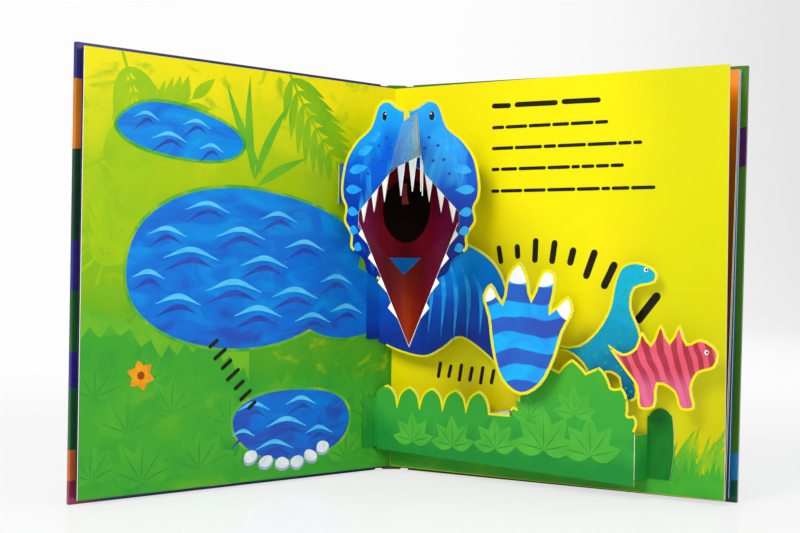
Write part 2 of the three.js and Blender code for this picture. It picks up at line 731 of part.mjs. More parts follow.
addPiece("plateback_card", cutout(platebackPoints, platebackOffset), colours.pink, 0.3);
addPiece("plateback_strut", strut(platebackOffset, platebackStrut), colours.paper, 0.6);

export default book;
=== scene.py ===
"""Dresses a hardcover pop-up picture book that stands open on one raised spread.

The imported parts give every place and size. This script prints and finishes the leaves, the raised
cards and the case, and sets up the stage, the lights and the camera. Lengths are metres, and the
printed shapes are drawn in millimetres on flat printed faces.
"""

import json
import math
import random

import bpy
from bpy.props import FloatProperty, FloatVectorProperty, PointerProperty
from mathutils import Matrix, Vector

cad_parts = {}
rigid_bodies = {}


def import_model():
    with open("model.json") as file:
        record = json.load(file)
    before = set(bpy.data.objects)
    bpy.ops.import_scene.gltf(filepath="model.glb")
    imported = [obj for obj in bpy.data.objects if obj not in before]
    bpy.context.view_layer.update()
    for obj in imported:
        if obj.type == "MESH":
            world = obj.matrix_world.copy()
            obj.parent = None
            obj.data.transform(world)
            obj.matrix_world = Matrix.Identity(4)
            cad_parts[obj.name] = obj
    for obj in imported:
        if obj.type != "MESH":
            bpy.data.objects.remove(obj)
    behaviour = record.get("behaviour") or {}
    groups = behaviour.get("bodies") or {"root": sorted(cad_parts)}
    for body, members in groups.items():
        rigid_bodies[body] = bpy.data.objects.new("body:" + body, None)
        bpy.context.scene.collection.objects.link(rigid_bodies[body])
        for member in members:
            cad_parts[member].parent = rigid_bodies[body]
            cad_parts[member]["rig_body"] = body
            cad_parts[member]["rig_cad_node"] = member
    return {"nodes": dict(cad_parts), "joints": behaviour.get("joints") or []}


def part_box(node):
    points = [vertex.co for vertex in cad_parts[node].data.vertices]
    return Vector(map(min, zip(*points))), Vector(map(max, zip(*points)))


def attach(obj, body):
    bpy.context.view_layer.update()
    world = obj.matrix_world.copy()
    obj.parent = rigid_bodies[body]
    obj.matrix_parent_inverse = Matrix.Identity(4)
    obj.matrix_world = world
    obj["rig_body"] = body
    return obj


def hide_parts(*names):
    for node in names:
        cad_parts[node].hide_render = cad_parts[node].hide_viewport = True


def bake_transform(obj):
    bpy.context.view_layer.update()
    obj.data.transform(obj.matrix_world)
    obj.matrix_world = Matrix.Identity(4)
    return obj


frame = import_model()

bl_info = {
    "name": "Pop-Up Book",
    "version": (1, 0, 0),
    "blender": (4, 5, 0),
    "location": "View3D > Sidebar > Pop-Up Book",
    "description": "Prints and finishes a pop-up picture book around its packed parts",
    "category": "Add Mesh",
}

MM = 0.001
UP = Vector((0, 0, 1))
FACING = 0.99  # a face looks a way when the cosine between them is above this
WELD = 2e-7  # vertices nearer than this are one
FLAT = math.radians(0.05)  # faces that meet at less than this are one
INK = 0.02 * MM  # thickness of a printed mark
INK_GAP = 0.01 * MM  # gap between the card and its first ink
INK_STEP = 0.025 * MM  # from one ink to the next over it
MICRO = 0.015 * MM  # spread of the marks of one ink, so that no two lie in one plane
GOLDEN = 0.618034


def linear(code):
    """The linear colour of a screen colour such as F0E500."""
    parts = [int(code[i:i + 2], 16) / 255 for i in (0, 2, 4)]
    return [c / 12.92 if c <= 0.04045 else ((c + 0.055) / 1.055) ** 2.4 for c in parts]


def four_numbers(colour):
    """A colour for a node: from a screen colour, or from one of the book's own colours by name."""
    own = bpy.context.scene.popup_colours
    return (*(getattr(own, colour) if hasattr(own, colour) else linear(colour)), 1.0)


def colour_property(name, description, code):
    return FloatVectorProperty(
        name=name, description=description, default=linear(code), size=3, min=0, max=1, subtype="COLOR"
    )


def length_property(name, description, default):
    return FloatProperty(name=name, description=description, default=default, min=0, unit="LENGTH")


class PopupBookColours(bpy.types.PropertyGroup):
    """The book's main printing colours."""

    page: colour_property("Page", "Bright ground of the open spread", "F2E400")
    meadow: colour_property("Meadow", "Lime green of the left page", "A9C800")
    leaf: colour_property("Leaf", "Green of the bushes", "45A82F")
    hide: colour_property("Hide", "Light blue of the raised creature", "0C9AEE")
    border: colour_property("Border", "Die-cut border around the raised cards", "F0E400")
    case_back: colour_property("Back cover", "Laminated paper of the back cover", "3F7A14")
    case_front: colour_property("Front cover", "Laminated paper of the front cover", "2A2A78")


class PopupBookSizes(bpy.types.PropertyGroup):
    """Sizes that the finishing work uses."""

    border: length_property("Border", "Width of the border printed round each raised card", 1.9 * MM)
    board_edge: length_property("Board edge", "Rounding of the covered board's edges", 0.55 * MM)
    lens: FloatProperty(
        name="Lens", description="Focal length of the camera", default=57.8, min=1, unit="CAMERA",
    )


# Node materials

class Finish:
    """A node material that is built up step by step, on Object coordinates."""

    def __init__(self, name, roughness=0.3, coat=0.0, shine=0.16):
        self.material = bpy.data.materials.new(name)
        self.material.use_nodes = True
        self.tree = self.material.node_tree
        self.shader = self.tree.nodes["Principled BSDF"]
        self.shader.inputs["Roughness"].default_value = roughness
        self.shader.inputs["Specular IOR Level"].default_value = shine
        self.shader.inputs["Coat Weight"].default_value = coat
        self.shader.inputs["Coat Roughness"].default_value = 0.12
        self.place = self.node("ShaderNodeTexCoord").outputs["Object"]
        self.height = self.axis(self.place, 2)

    def fill(self, socket, value):
        """Links a socket to another one, or sets it to a value or a colour."""
        if isinstance(value, bpy.types.NodeSocket):
            self.tree.links.new(value, socket)
        else:
            socket.default_value = four_numbers(value) if isinstance(value, str) else value

    def node(self, kind, inputs=None, **settings):
        made = self.tree.nodes.new(kind)
        for key, value in settings.items():
            setattr(made, key, value)
        for key, value in (inputs or {}).items():
            self.fill(made.inputs[key], value)
        return made

    def math(self, operation, first, second=0.0, third=0.0):
        inputs = {0: first, 1: second, 2: third}
        return self.node("ShaderNodeMath", inputs, operation=operation).outputs[0]

    def vector_math(self, operation, first, second):
        inputs = {0: first, 1: tuple(second)}
        return self.node("ShaderNodeVectorMath", inputs, operation=operation).outputs

    def smooth(self, value, low, high):
        """0 below low, 1 above high and a soft step between them."""
        inputs = {0: value, 1: low, 2: high, 3: 0.0, 4: 1.0}
        return self.node("ShaderNodeMapRange", inputs, interpolation_type="SMOOTHSTEP").outputs[0]

    def noise(self, scale, detail=3.0, vector=None, warp=0.0):
        inputs = {
            "Vector": vector or self.place, "Scale": scale, "Detail": detail,
            "Distortion": warp, "Roughness": 0.55,
        }
        return self.node("ShaderNodeTexNoise", inputs).outputs[0]

    def turned(self, angle, origin=(0, 0, 0), stretch=(1, 1, 1)):
        """Object coordinates about a point, turned about the upright so that X runs along a page."""
        moved = self.vector_math("SUBTRACT", self.place, origin)[0]
        inputs = {"Vector": moved, "Rotation": (0, 0, -angle), "Scale": stretch}
        return self.node("ShaderNodeMapping", inputs).outputs[0]

    def brush(self, scale, detail, warp, angle=0.0, stretch=(1, 1, 1)):
        """Noise like brush strokes, turned and stretched."""
        return self.noise(scale, detail, self.turned(angle, stretch=stretch), warp)

    def axis(self, vector, letter):
        return self.node("ShaderNodeSeparateXYZ", {0: vector}).outputs[letter]

    def away_from(self, x):
        """How far a point lies to either side of a plane across X."""
        return self.math("ABSOLUTE", self.math("SUBTRACT", self.axis(self.place, 0), x))

    def ramp(self, factor, stops, interpolation="EASE"):
        made = self.node("ShaderNodeValToRGB", {0: factor})
        made.color_ramp.interpolation = interpolation
        elements = made.color_ramp.elements
        while len(elements) < len(stops):
            elements.new(0.5)
        for element, (position, _) in zip(elements, stops):
            element.position = position
        for element, (_, colour) in zip(elements, stops):
            element.color = four_numbers(colour)
        return made.outputs[0]

    def graded(self, level, brush, weights, stops):
        """A ramp of colours along a level, broken up by brush strokes."""
        rise = self.math("MULTIPLY_ADD", level, weights[1], weights[2])
        return self.ramp(self.math("MULTIPLY_ADD", brush, weights[0], rise), stops)

    def mix(self, factor, first, second, blend="MIX", share=1.0):
        """The second colour over the first: a factor, times a share where that is given."""
        factor = factor if share == 1.0 else self.math("MULTIPLY", factor, share)
        inputs = {0: factor, 6: first, 7: second}
        return self.node("ShaderNodeMix", inputs, data_type="RGBA", blend_type=blend).outputs[2]

    def near(self, point, reach, soft):
        """1 within reach of a point, 0 beyond it."""
        distance = self.vector_math("DISTANCE", self.place, point)["Value"]
        return self.math("SUBTRACT", 1.0, self.smooth(distance, reach * (1 - soft), reach))

    def paper(self, colour, waviness=0.25, grain=0.12):
        """Ends the material: a colour on coated card, with faint waves and grain."""
        self.fill(self.shader.inputs["Base Color"], colour)
        inputs = {"Strength": grain, "Distance": 0.03 * MM, "Height": self.noise(2600, 2.0)}
        fine = self.node("ShaderNodeBump", inputs).outputs[0]
        inputs = {
            "Strength": waviness, "Distance": 0.9 * MM, "Height": self.noise(26, 2.0), "Normal": fine
        }
        self.fill(self.shader.inputs["Normal"], self.node("ShaderNodeBump", inputs).outputs[0])
        return self.material


def mottled(
    name, shades, scale, roughness, stretch=(1, 1, 1), shine=0.16,
    detail=4.0, warp=0.6, low=0.3, relief=(0.25, 0.12),
):
    """A printed flat colour with brushy variation between a few shades."""
    made = Finish(name, roughness, shine=shine)
    shades = shades.split()
    last = len(shades) - 1
    stops = [(low + (1 - 2 * low) * i / last, shade) for i, shade in enumerate(shades)]
    return made.paper(made.ramp(made.brush(scale, detail, warp, 0, stretch), stops), *relief)


def graded_print(name, roughness, brush, weights, stops):
    """A print that changes colour up the card."""
    made = Finish(name, roughness)
    return made.paper(made.graded(made.height, made.brush(*brush), weights, stops))


def left_page_print(name):
    made = Finish(name)
    brush = made.brush(24, 5.0, 1.2, 0.6, (1, 1, 0.45))
    ground = made.graded(made.height, brush, (0.075 / 0.27, 1 / 0.27, -0.0375 / 0.27), [
        (0.02, "2A8C26"), (0.2, "40A020"), (0.38, "5EAC16"), (0.56, "84BA0E"),
        (0.72, "meadow"), (0.86, "D0D800"), (0.97, "page"),
    ])
    strokes = made.brush(70, 4.0, 0.8, -0.9, (0.35, 1, 1))
    ground = made.mix(made.smooth(strokes, 0.52, 0.72), ground, "A6C60A")
    return made.paper(made.mix(made.smooth(made.height, 0.16, 0.03), ground, "2F9A34", share=0.35))


def right_page_print(name):
    made = Finish(name)
    ground = made.ramp(made.brush(13, 4.0, 0.8), [(0.3, "E9E200"), (0.5, "page"), (0.72, "F3DF02")])
    ground = made.mix(made.smooth(made.height, 0.14, 0.02), ground, "E0CC00", share=0.5)
    along = made.axis(made.turned(PAGE_TURN, GUTTER), 0)
    wander = made.math("MULTIPLY_ADD", made.noise(11, 4.0), 0.06, along)
    return made.paper(made.mix(made.smooth(wander, 0.16, 0.25), ground, "CDCE00", share=0.75))


def strut_card(name, out, tab, tab_shade):
    """A strut's card: blue where it stands off the page, printed like the page where it is glued."""
    made = Finish(name, 0.35)
    level = made.vector_math("DOT_PRODUCT", made.place, out)["Value"]
    proud = made.math("SUBTRACT", level, GUTTER.dot(out))
    cloud = made.noise(60)
    blue = made.ramp(cloud, [(0.3, "1A3F9E"), (0.7, "1D5CC0")])
    green = made.ramp(cloud, [(0.3, tab), (0.7, tab_shade)])
    return made.paper(made.mix(made.smooth(proud, 1.5 * MM, 2.0 * MM), green, blue))


def strut_left(name):
    return strut_card(name, TO_READER_LEFT, "A4C406", "B8CE02")


def strut_right(name):
    return strut_card(name, TO_READER_RIGHT, "E2DA00", "EEE200")


def hide_blue(name):
    """The face: sky blue at the brows, deeper blue at the cheeks, with brushy pale strokes."""
    made = Finish(name, 0.27)
    brush = made.brush(38, 5.0, 1.0, 0.2, (1, 1, 0.4))
    ground = made.graded(made.height, brush, (0.36, 7.2, -1.2), [
        (0.04, "0A2488"), (0.28, "0638AC"), (0.5, "0259D4"), (0.68, "hide"), (0.92, "22BAF8"),
    ])
    strokes = made.brush(90, 3.0, 0.5, 0.2, (0.5, 0.5, 0.16))
    return made.paper(made.mix(made.smooth(strokes, 0.56, 0.7), ground, "2AA8F2"))


def snout_print_and_sheen(name):
    """The glossy top of the snout: its blue print paled to a pale steel blue as painted sheen, and its
    gloss mirrors what stands beside it.
    """
    made = Finish(name, 0.14, 0.5, 0.5)
    # Painted sheen: pale steel shades stand in for the card's blue print
    stops = [(0.1, "5E7F9E"), (0.45, "7FA6C2"), (0.9, "5CB6DE")]
    ground = made.graded(made.height, made.brush(60, 4.0, 0.8), (0.5, 14.0, -2.95), stops)
    return made.paper(ground, 0.4)


def jaw_print_and_shade(name):
    """The trough of the jaw: magenta sides and a warm brown along its fold, with painted shade that
    darkens its upper part inside the mouth.
    """
    made = Finish(name, shine=0.05)
    brush = made.brush(55, 4.0, 0.7, 0, (1, 1, 0.3))
    ground = made.graded(made.away_from(JAW_FOLD_X), brush, (0.28, 36.0, 0.0), [
        (0.12, "8C2806"), (0.3, "741604"), (0.5, "64060C"), (0.74, "800A3E"), (0.97, "94205C"),
    ])
    # Painted shade: near black over the jaw's upper part, deep in the mouth
    return made.paper(made.mix(made.smooth(made.height, 0.1, 0.145), ground, "3C0208", share=0.8))


def lining_print_and_shade(name):
    """The pocket behind the mouth: wine red, with painted shade that darkens it towards the throat."""
    made = Finish(name, 0.35, shine=0.04)
    # Painted shade: darker the nearer the deepest part of the pocket
    return made.paper(made.graded(
        made.away_from(0.004), made.brush(45, 4.0, 0.8), (0.3, 22.0, 0.0),
        [(0.15, "4A0510"), (0.5, "66081A"), (0.75, "7A1248"), (0.95, "84285C")],
    ))


def banded(name, lean, wobble, shades, spacing):
    """Wavy stripes across a card beside the right-hand page."""
    made = Finish(name, 0.27)
    vector = made.turned(PAGE_TURN)
    along = made.axis(vector, 0)
    swing = made.math("SINE", made.math("MULTIPLY_ADD", along, wobble[0], wobble[1]))
    wander = made.math("MULTIPLY", made.noise(26, 2.0), 0.012)
    level = made.math("MULTIPLY", made.axis(vector, 2), lean[1])
    level = made.math("MULTIPLY_ADD", along, lean[0], level)
    total = made.math("ADD", made.math("MULTIPLY_ADD", swing, wobble[2], level), wander)
    phase = made.math("FRACT", made.math("DIVIDE", total, spacing))
    cloud = made.noise(50, 3.0, vector, 0.6)
    light = made.ramp(cloud, [(0.3, shades[0]), (0.7, shades[1])])
    dark = made.ramp(cloud, [(0.3, shades[2]), (0.7, shades[3])])
    band = made.math("SUBTRACT", made.smooth(phase, 0.44, 0.5), made.smooth(phase, 0.94, 1.0))
    return made, made.mix(band, light, dark)


def paw_print(name):
    """Wavy blue bands, with pale claws at the tips of the toes."""
    shades = ("1E93EA", "18B4F4", "2F4FB0", "2A62C4")
    made, ground = banded(name, (-0.12, 1.0), (95.0, 1.0, 0.0022), shades, 0.0205)
    for tip, reach in CLAWS:
        ground = made.mix(made.near(right_card_point("paw_card", *tip), reach, 0.06), ground, "F3F6F8")
    return made.paper(ground)


def pink_print(name):
    shades = ("DC5268", "E6627A", "A4303E", "B03C4C")
    made, ground = banded(name, (1.0, 0.32), (80.0, 0.4, 0.0012), shades, 0.0078)
    return made.paper(made.mix(made.smooth(made.height, 0.082, 0.068), ground, "E4709C", share=0.6))


def teal_print(name):
    """Teal hide with small green spots and a darker belly."""
    made = Finish(name, 0.27)
    stops = [(0.1, "0A6090"), (0.45, "0890B6"), (0.85, "10AACC")]
    ground = made.graded(made.height, made.brush(60, 4.0, 0.7), (0.5, 12.0, -0.95), stops)
    inputs = {"Vector": made.turned(PAGE_TURN, stretch=(1, 0, 1)), "Scale": 260.0, "Randomness": 0.85}
    spots = made.node("ShaderNodeTexVoronoi", inputs).outputs["Distance"]
    return made.paper(made.mix(made.smooth(spots, 0.3, 0.22), ground, "1FA468", share=0.85))


def covered_board(name, base, field, patches, side):
    """Laminated cover paper: one field colour, with broad patches of colour along the fore-edge."""
    made = Finish(name, 0.22, 0.3, 0.3)
    height = made.math("MULTIPLY_ADD", made.brush(9, 2.0, 0.4), 0.03, made.height)
    bands = made.ramp(made.math("DIVIDE", height, 0.285), patches, "CONSTANT")
    reach = made.math("MULTIPLY", made.axis(made.place, 0), side)
    edge = made.math("MULTIPLY_ADD", made.noise(14), 0.03, reach)
    ground = made.mix(made.smooth(edge, 0.199, 0.2), field, bands)
    shade = made.ramp(made.brush(30, 4.0, 0.7), [(0.3, base), (0.7, "FFFFFF")])
    return made.paper(made.mix(0.16, ground, shade, "MULTIPLY"), 0.2, 0.1)


def case_green(name):
    return covered_board(name, "2C6A20", "case_back", [
        (0.0, "0B5A3A"), (0.105, "1F86C4"), (0.165, "case_back"), (0.78, "4A1258"),
        (0.865, "case_back"),
    ], 1)


def case_navy(name):
    return covered_board(name, "22226A", "case_front", [
        (0.0, "8E2A46"), (0.09, "C5642A"), (0.16, "14582E"), (0.3, "2A2480"), (0.37, "1C5A2A"),
        (0.5, "case_front"), (0.6, "123F2A"), (0.78, "D07A1C"), (0.93, "case_front"),
    ], -1)


# Shades, scale of the brush marks, roughness and what differs from mottled's own values
MOTTLED = {
    "card_core": ("DDDACB F4F2EA", 900, 0.65, (1, 1, 0.05), 0.16, 2.0, 0.0, 0.35, (0.0, 0.35)),
    "leaf_core": ("D5D3C8 F2F1EB", 1400, 0.55, (1, 1, 1), 0.16, 3.0, 0.0, 0.35, (0.0, 0.3)),
    "plain_card": ("E4E2D8 ECEAE2", 220, 0.6, (1, 1, 1), 0.16, 4.0, 0.0, 0.3, (0.15, 0.12)),
    "border_yellow": ("E9DC00 border", 45, 0.28, (1, 1, 1), 0.16, 3.0, 0.0, 0.35),
    "hide_pale": ("1696EE 30B2F6", 80, 0.27),
    "hide_deep": ("1C3C9E 2450B8", 80, 0.27),
    "mouth_print": ("4A0A16 6E1020 7E1A2A", 40, 0.32),
    "jaw_under": ("1646A6 1E6AD0", 60, 0.27),
    "throat_dark": ("070102 0E0204", 60, 0.6, (1, 1, 1), 0.03),
    "tongue_red": ("6E1612 8A261A", 120, 0.35),
    "tooth_white": ("E9E7DE FBFBF7", 120, 0.22),
    "body_streak": ("0E86D4 2AA8EC", 110, 0.27),
    "bush_pale": ("44A934 55B43A", 60, 0.28),
    "bush_dark": ("0B6A1C 127A24", 60, 0.28),
    "water_pale": ("3CBCF4 66CEF8", 70, 0.28, (1, 1, 2.5)),
    "water_deep": ("2742A8 2F56BC", 70, 0.28, (1, 1, 2.5)),
    "frond_green": ("6DB01A 86BC12 97C410", 45, 0.3),
    "frond_soft": ("93C20C A6CB06", 45, 0.3),
    "meadow_green": ("2F9632 3FA62C 57AE26", 26, 0.3),
    "meadow_leaf": ("3BA12E 4FAF2C", 40, 0.3),
    "meadow_vein": ("2C9434 38A030", 26, 0.3),
    "meadow_pale": ("5FB22A 74BC22", 40, 0.3),
    "grass_green": ("3E9A2C 66B028 8CBC14", 40, 0.3),
    "shore": ("2F9A3A 58B030 9CC41A", 50, 0.3),
    "pebble": ("D9DEE4 F4F6F6", 90, 0.28),
    "pebble_shade": ("8FA6C0 A9BCD0", 90, 0.28),
    "flower_orange": ("E8860C F4A418", 160, 0.28),
    "flower_heart": ("8A3A10 A84C14", 200, 0.28),
    "text_black": ("14110A 242014", 200, 0.34),
    "eye_black": ("06070C 10121C", 200, 0.18),
    "endpaper_purple": ("4E2A72 64348A", 30, 0.28),
    "endpaper_blue": ("1C5FA8 2A7CC4", 30, 0.28),
}
FAN = (0.35, (18, 3.0, 0.7), (0.2, 1 / 0.3, 0.0))
# Roughness, brush, weights of brush and height, and the ramp from foot to head
GRADED = {
    "fan_orange": (*FAN, [(0.1, "4E2404"), (0.5, "743802"), (0.8, "9A4C04"), (0.95, "F08A08")]),
    "fan_olive": (*FAN, [(0.1, "5E6A14"), (0.5, "8C8418"), (0.8, "6E8A5C"), (0.95, "4E8FA0")]),
    "fan_blue": (*FAN, [(0.1, "1A4A7A"), (0.5, "2A6FA0"), (0.8, "2C88C0"), (0.95, "2FA8E0")]),
    "body_print": (
        0.27, (36, 5.0, 0.9, 0.3, (1, 1, 0.5)), (0.5, 11.0, -1.15),
        [(0.1, "12308E"), (0.35, "0C48B0"), (0.6, "0474CC"), (0.9, "109CE8")],
    ),
    "bush_print": (
        0.28, (30, 5.0, 1.0), (0.6, 9.0, -0.35),
        [(0.1, "1E8A34"), (0.4, "38A336"), (0.65, "leaf"), (0.95, "4FB336")],
    ),
    "water_print": (
        0.28, (24, 5.0, 1.1, 0.4, (1, 1, 2.2)), (0.9, 1.3, -0.18),
        [(0.22, "2450B8"), (0.42, "0E70D8"), (0.6, "068EE6"), (0.82, "06AAEE")],
    ),
}
OWN_PRINTS = (
    left_page_print, right_page_print, strut_left, strut_right, hide_blue, snout_print_and_sheen, jaw_print_and_shade,
    lining_print_and_shade, paw_print, pink_print, teal_print, case_green, case_navy,
)


OWN = {own.__name__: own for own in OWN_PRINTS}
MADE = {}


def finish(name):
    """The material of that name, made when it is first asked for."""
    if name not in MADE:
        if name in MOTTLED:
            MADE[name] = mottled(name, *MOTTLED[name])
        elif name in GRADED:
            MADE[name] = graded_print(name, *GRADED[name])
        else:
            MADE[name] = OWN[name](name)
    return MADE[name]


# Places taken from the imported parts

def polygons(node):
    return frame["nodes"][node].data.polygons


def vertices(node):
    return [v.co for v in frame["nodes"][node].data.vertices]


def plan(point):
    """The point at floor level."""
    return Vector((point.x, point.y, 0))


def upward(way):
    """The unit vector along a line, in the sense that rises."""
    way = way.normalized()
    return way if way.z > 0 else -way


def page_reader_corner(side):
    """The foot of an open leaf's fore-edge, on its printed face, which is nearest to the reader."""
    found = [v for v in vertices("page_block") if v.x * side > 0]
    return plan(min(found, key=lambda v: (round(v.y, 6), v.z)))


LEFT_CORNER = page_reader_corner(-1)
RIGHT_CORNER = page_reader_corner(1)
PAGE_FOOT, PAGE_HEAD = (corner.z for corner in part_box("page_block"))
GUTTER_X = (LEFT_CORNER.x + RIGHT_CORNER.x) / 2
GUTTER = Vector((GUTTER_X, min(v.y for v in vertices("page_block") if abs(v.x - GUTTER_X) < 0.2 * MM), 0))
PAGE_WIDTH = (RIGHT_CORNER - GUTTER).length / MM
ALONG_RIGHT = (RIGHT_CORNER - GUTTER).normalized()
ALONG_LEFT = (LEFT_CORNER - GUTTER).normalized()
PAGE_TURN = math.atan2(ALONG_RIGHT.y, ALONG_RIGHT.x)
TO_READER_RIGHT = ALONG_RIGHT.cross(UP)
TO_READER_LEFT = UP.cross(ALONG_LEFT)
JAW_FOLD_X = min(vertices("lower_jaw_card"), key=lambda v: v.z).x
CLAWS = [((86, 132), 0.0125), ((111, 146), 0.0145), ((128, 142), 0.0120), ((149, 121), 0.0125)]


def within(points, low, high):
    """The part of a closed outline that lies inside an upright rectangle."""
    for axis, bound, sign in ((0, low[0], 1), (0, high[0], -1), (1, low[1], 1), (1, high[1], -1)):
        kept = []
        for a, b in zip(points, points[1:] + points[:1]):
            inside_a, inside_b = (a[axis] - bound) * sign, (b[axis] - bound) * sign
            if inside_a >= 0:
                kept.append(a)
            if inside_a * inside_b < 0:
                t = inside_a / (inside_a - inside_b)
                kept.append((a[0] + (b[0] - a[0]) * t, a[1] + (b[1] - a[1]) * t))
        points = kept
    return points


class Face:
    """A flat printed face: a zero point, the ways along it, up it and out of it, and its limits."""

    def __init__(self, zero, along, up, mirrored=False, limits=None):
        self.zero = zero
        self.along = along.normalized()
        self.out = self.along.cross(up).normalized()
        self.up = self.out.cross(self.along)
        self.sign = -1 if mirrored else 1
        self.limits = limits

    def matrix(self, lift):
        made = Matrix((self.along, self.up, self.out)).transposed().to_4x4()
        made.translation = self.zero + self.out * lift
        return made

    def drawn(self, points):
        if self.limits:
            points = within(points, *self.limits)
        return [(self.sign * x * MM, y * MM) for x, y in points]

    def point(self, along, height):
        return self.zero + self.along * self.sign * along * MM + UP * height * MM


def upright_face(node, out, zero=GUTTER, mirrored=False):
    """The front of a card that looks along the level direction `out`, measured from a plan point."""
    fronts = [p.center.dot(out) for p in polygons(node) if p.normal.angle(out, math.pi) < math.radians(4)]
    return Face(zero + out * (max(fronts) - zero.dot(out)), UP.cross(out), UP, mirrored)


def right_card_point(node, along, height):
    """A point on the front of a card that stands beside the right-hand page."""
    return upright_face(node, TO_READER_RIGHT).point(along, height)


# Modelling helpers

def only(*objects):
    """Selects these objects alone, the first of them active."""
    bpy.ops.object.select_all(action="DESELECT")
    for each in objects:
        each.select_set(True)
    bpy.context.view_layer.objects.active = objects[0]


def choose(piece, test):
    """Selects the faces that pass a test, in object mode."""
    mesh = piece.data
    for item in list(mesh.vertices) + list(mesh.edges):
        item.select = False
    for face in mesh.polygons:
        face.select = bool(test(face))
        if face.select:
            for index in face.vertices:
                mesh.vertices[index].select = True


def edit(piece, *steps, test=lambda face: True):
    """Runs steps in edit mode on the faces of a piece that pass a test."""
    only(piece)
    choose(piece, test)
    bpy.ops.object.mode_set(mode="EDIT")
    bpy.ops.mesh.select_mode(type="FACE")
    for step in steps:
        step()
    bpy.ops.object.mode_set(mode="OBJECT")


def weld():
    bpy.ops.mesh.remove_doubles(threshold=WELD)


def merge_flats():
    """Makes one face of the triangles that lie in one plane."""
    bpy.ops.mesh.select_all(action="SELECT")
    bpy.ops.mesh.dissolve_limited(angle_limit=FLAT)


def turn_outward():
    bpy.ops.mesh.select_all(action="SELECT")
    bpy.ops.mesh.normals_make_consistent(inside=False)


def applied(piece, kind, **settings):
    """Gives a piece a modifier and applies it."""
    modifier = piece.modifiers.new("Finish", kind)
    for key, value in settings.items():
        setattr(modifier, key, value)
    only(piece)
    bpy.ops.object.modifier_apply(modifier=modifier.name)


def covered(piece, names):
    """Gives a piece the materials of these names, in place of its own."""
    piece.data.materials.clear()
    for name in names:
        piece.data.materials.append(finish(name))


def joined(objects, name):
    only(*objects)
    if len(objects) > 1:
        bpy.ops.object.join()
    made = bpy.context.object
    made.name = name
    made.data.name = name
    return made


def copy_of(node, materials, flats=True):
    """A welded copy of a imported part, with a list of materials to give to its faces."""
    only(frame["nodes"][node])
    bpy.ops.object.duplicate()
    made = bpy.context.object
    made.parent = None
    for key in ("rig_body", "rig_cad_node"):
        if key in made:
            del made[key]
    edit(made, weld, *([merge_flats] if flats else []))
    covered(made, materials)
    return made


def paint(piece, index, test):
    """Gives one of the piece's materials to the faces that pass a test."""
    for face in piece.data.polygons:
        if test(face):
            face.material_index = index


def edge_of(piece, width, test, border, inner):
    """Insets the chosen faces: the ring gets the border material and the inside its own."""
    paint(piece, border, test)
    edit(piece, lambda: bpy.ops.mesh.inset(thickness=width, use_even_offset=True), test=test)
    paint(piece, inner, lambda face: face.select)


def cut(piece, point, normal, test=lambda face: True):
    """Adds an edge right through the chosen faces of a piece, along a plane."""
    edit(piece, lambda: bpy.ops.mesh.bisect(plane_co=point, plane_no=normal), test=test)


def outline_curve(drawn):
    """A closed flat outline as a filled curve, as thick as a printed mark."""
    curve = bpy.data.curves.new("ink", "CURVE")
    curve.dimensions = "2D"
    curve.fill_mode = "BOTH"
    curve.extrude = INK / 2
    spline = curve.splines.new("POLY")
    spline.points.add(len(drawn) - 1)
    for point, (x, y) in zip(spline.points, drawn):
        point.co = (x, y, 0, 1)
    spline.use_cyclic_u = True
    slab = bpy.data.objects.new("ink", curve)
    bpy.context.scene.collection.objects.link(slab)
    return slab


def ink(face, outlines, finish_name, level=0):
    """Flat closed shapes of one ink on a printed face, as thin slabs that lie just proud of it."""
    drawings = [face.drawn(points) for points in outlines]
    slabs = [outline_curve(drawn) for drawn in drawings if len(drawn) > 2]
    only(*slabs)
    bpy.ops.object.convert(target="MESH")
    for index, slab in enumerate(slabs):
        lift = INK_GAP + INK / 2 + INK_STEP * level + MICRO * (index * GOLDEN % 1)
        slab.data.transform(face.matrix(lift))
        covered(slab, [finish_name])
    made = joined(slabs, "ink")
    edit(made, weld, turn_outward)
    return made


def done(parts, name, slot, *nodes, body="book_block"):
    """Joins a finished piece and hands it to its body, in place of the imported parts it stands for."""
    piece = joined(parts, name)
    if nodes:
        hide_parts(*nodes)
    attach(piece, body)


# Outlines of printed shapes, in millimetres on a face

def direction(angle):
    return Vector((math.cos(angle), math.sin(angle)))


def leaf(base, angle, length, width, bend=0.0):
    """A pointed leaf from its base, leaning by an angle and bent sideways."""
    axis = direction(angle)
    side = axis.orthogonal()
    left, right = [], []
    steps = 8
    for i in range(steps + 1):
        t = i / steps
        middle = Vector(base) + axis * length * t + side * bend * length * t * t
        half = side * width / 2 * math.sin(math.pi * t ** 0.8)
        left.append(tuple(middle + half))
        right.append(tuple(middle - half))
    return left + right[-2:0:-1]


def ribbon(points, widths, steps):
    """A band of changing width along a smooth line through a few points."""
    line, spans = [], []
    path = [Vector(p) for p in points]
    path = [2 * path[0] - path[1], *path, 2 * path[-1] - path[-2]]
    span = [widths[0], *widths, widths[-1]]
    for k in range(1, len(path) - 2):
        for i in range(steps):
            t = i / steps
            weights = (
                -0.5 * t + t * t - 0.5 * t ** 3, 1 - 2.5 * t * t + 1.5 * t ** 3,
                0.5 * t + 2 * t * t - 1.5 * t ** 3, -0.5 * t * t + 0.5 * t ** 3,
            )
            line.append(sum((p * w for p, w in zip(path[k - 1:k + 3], weights)), Vector((0, 0))))
            spans.append(sum(s * w for s, w in zip(span[k - 1:k + 3], weights)))
    line.append(path[-2])
    spans.append(widths[-1])
    left, right = [], []
    for i, point in enumerate(line):
        way = (line[min(i + 1, len(line) - 1)] - line[max(i - 1, 0)]).normalized()
        side = way.orthogonal() * max(spans[i], 0.05) / 2
        left.append(tuple(point + side))
        right.append(tuple(point - side))
    return left + right[::-1]


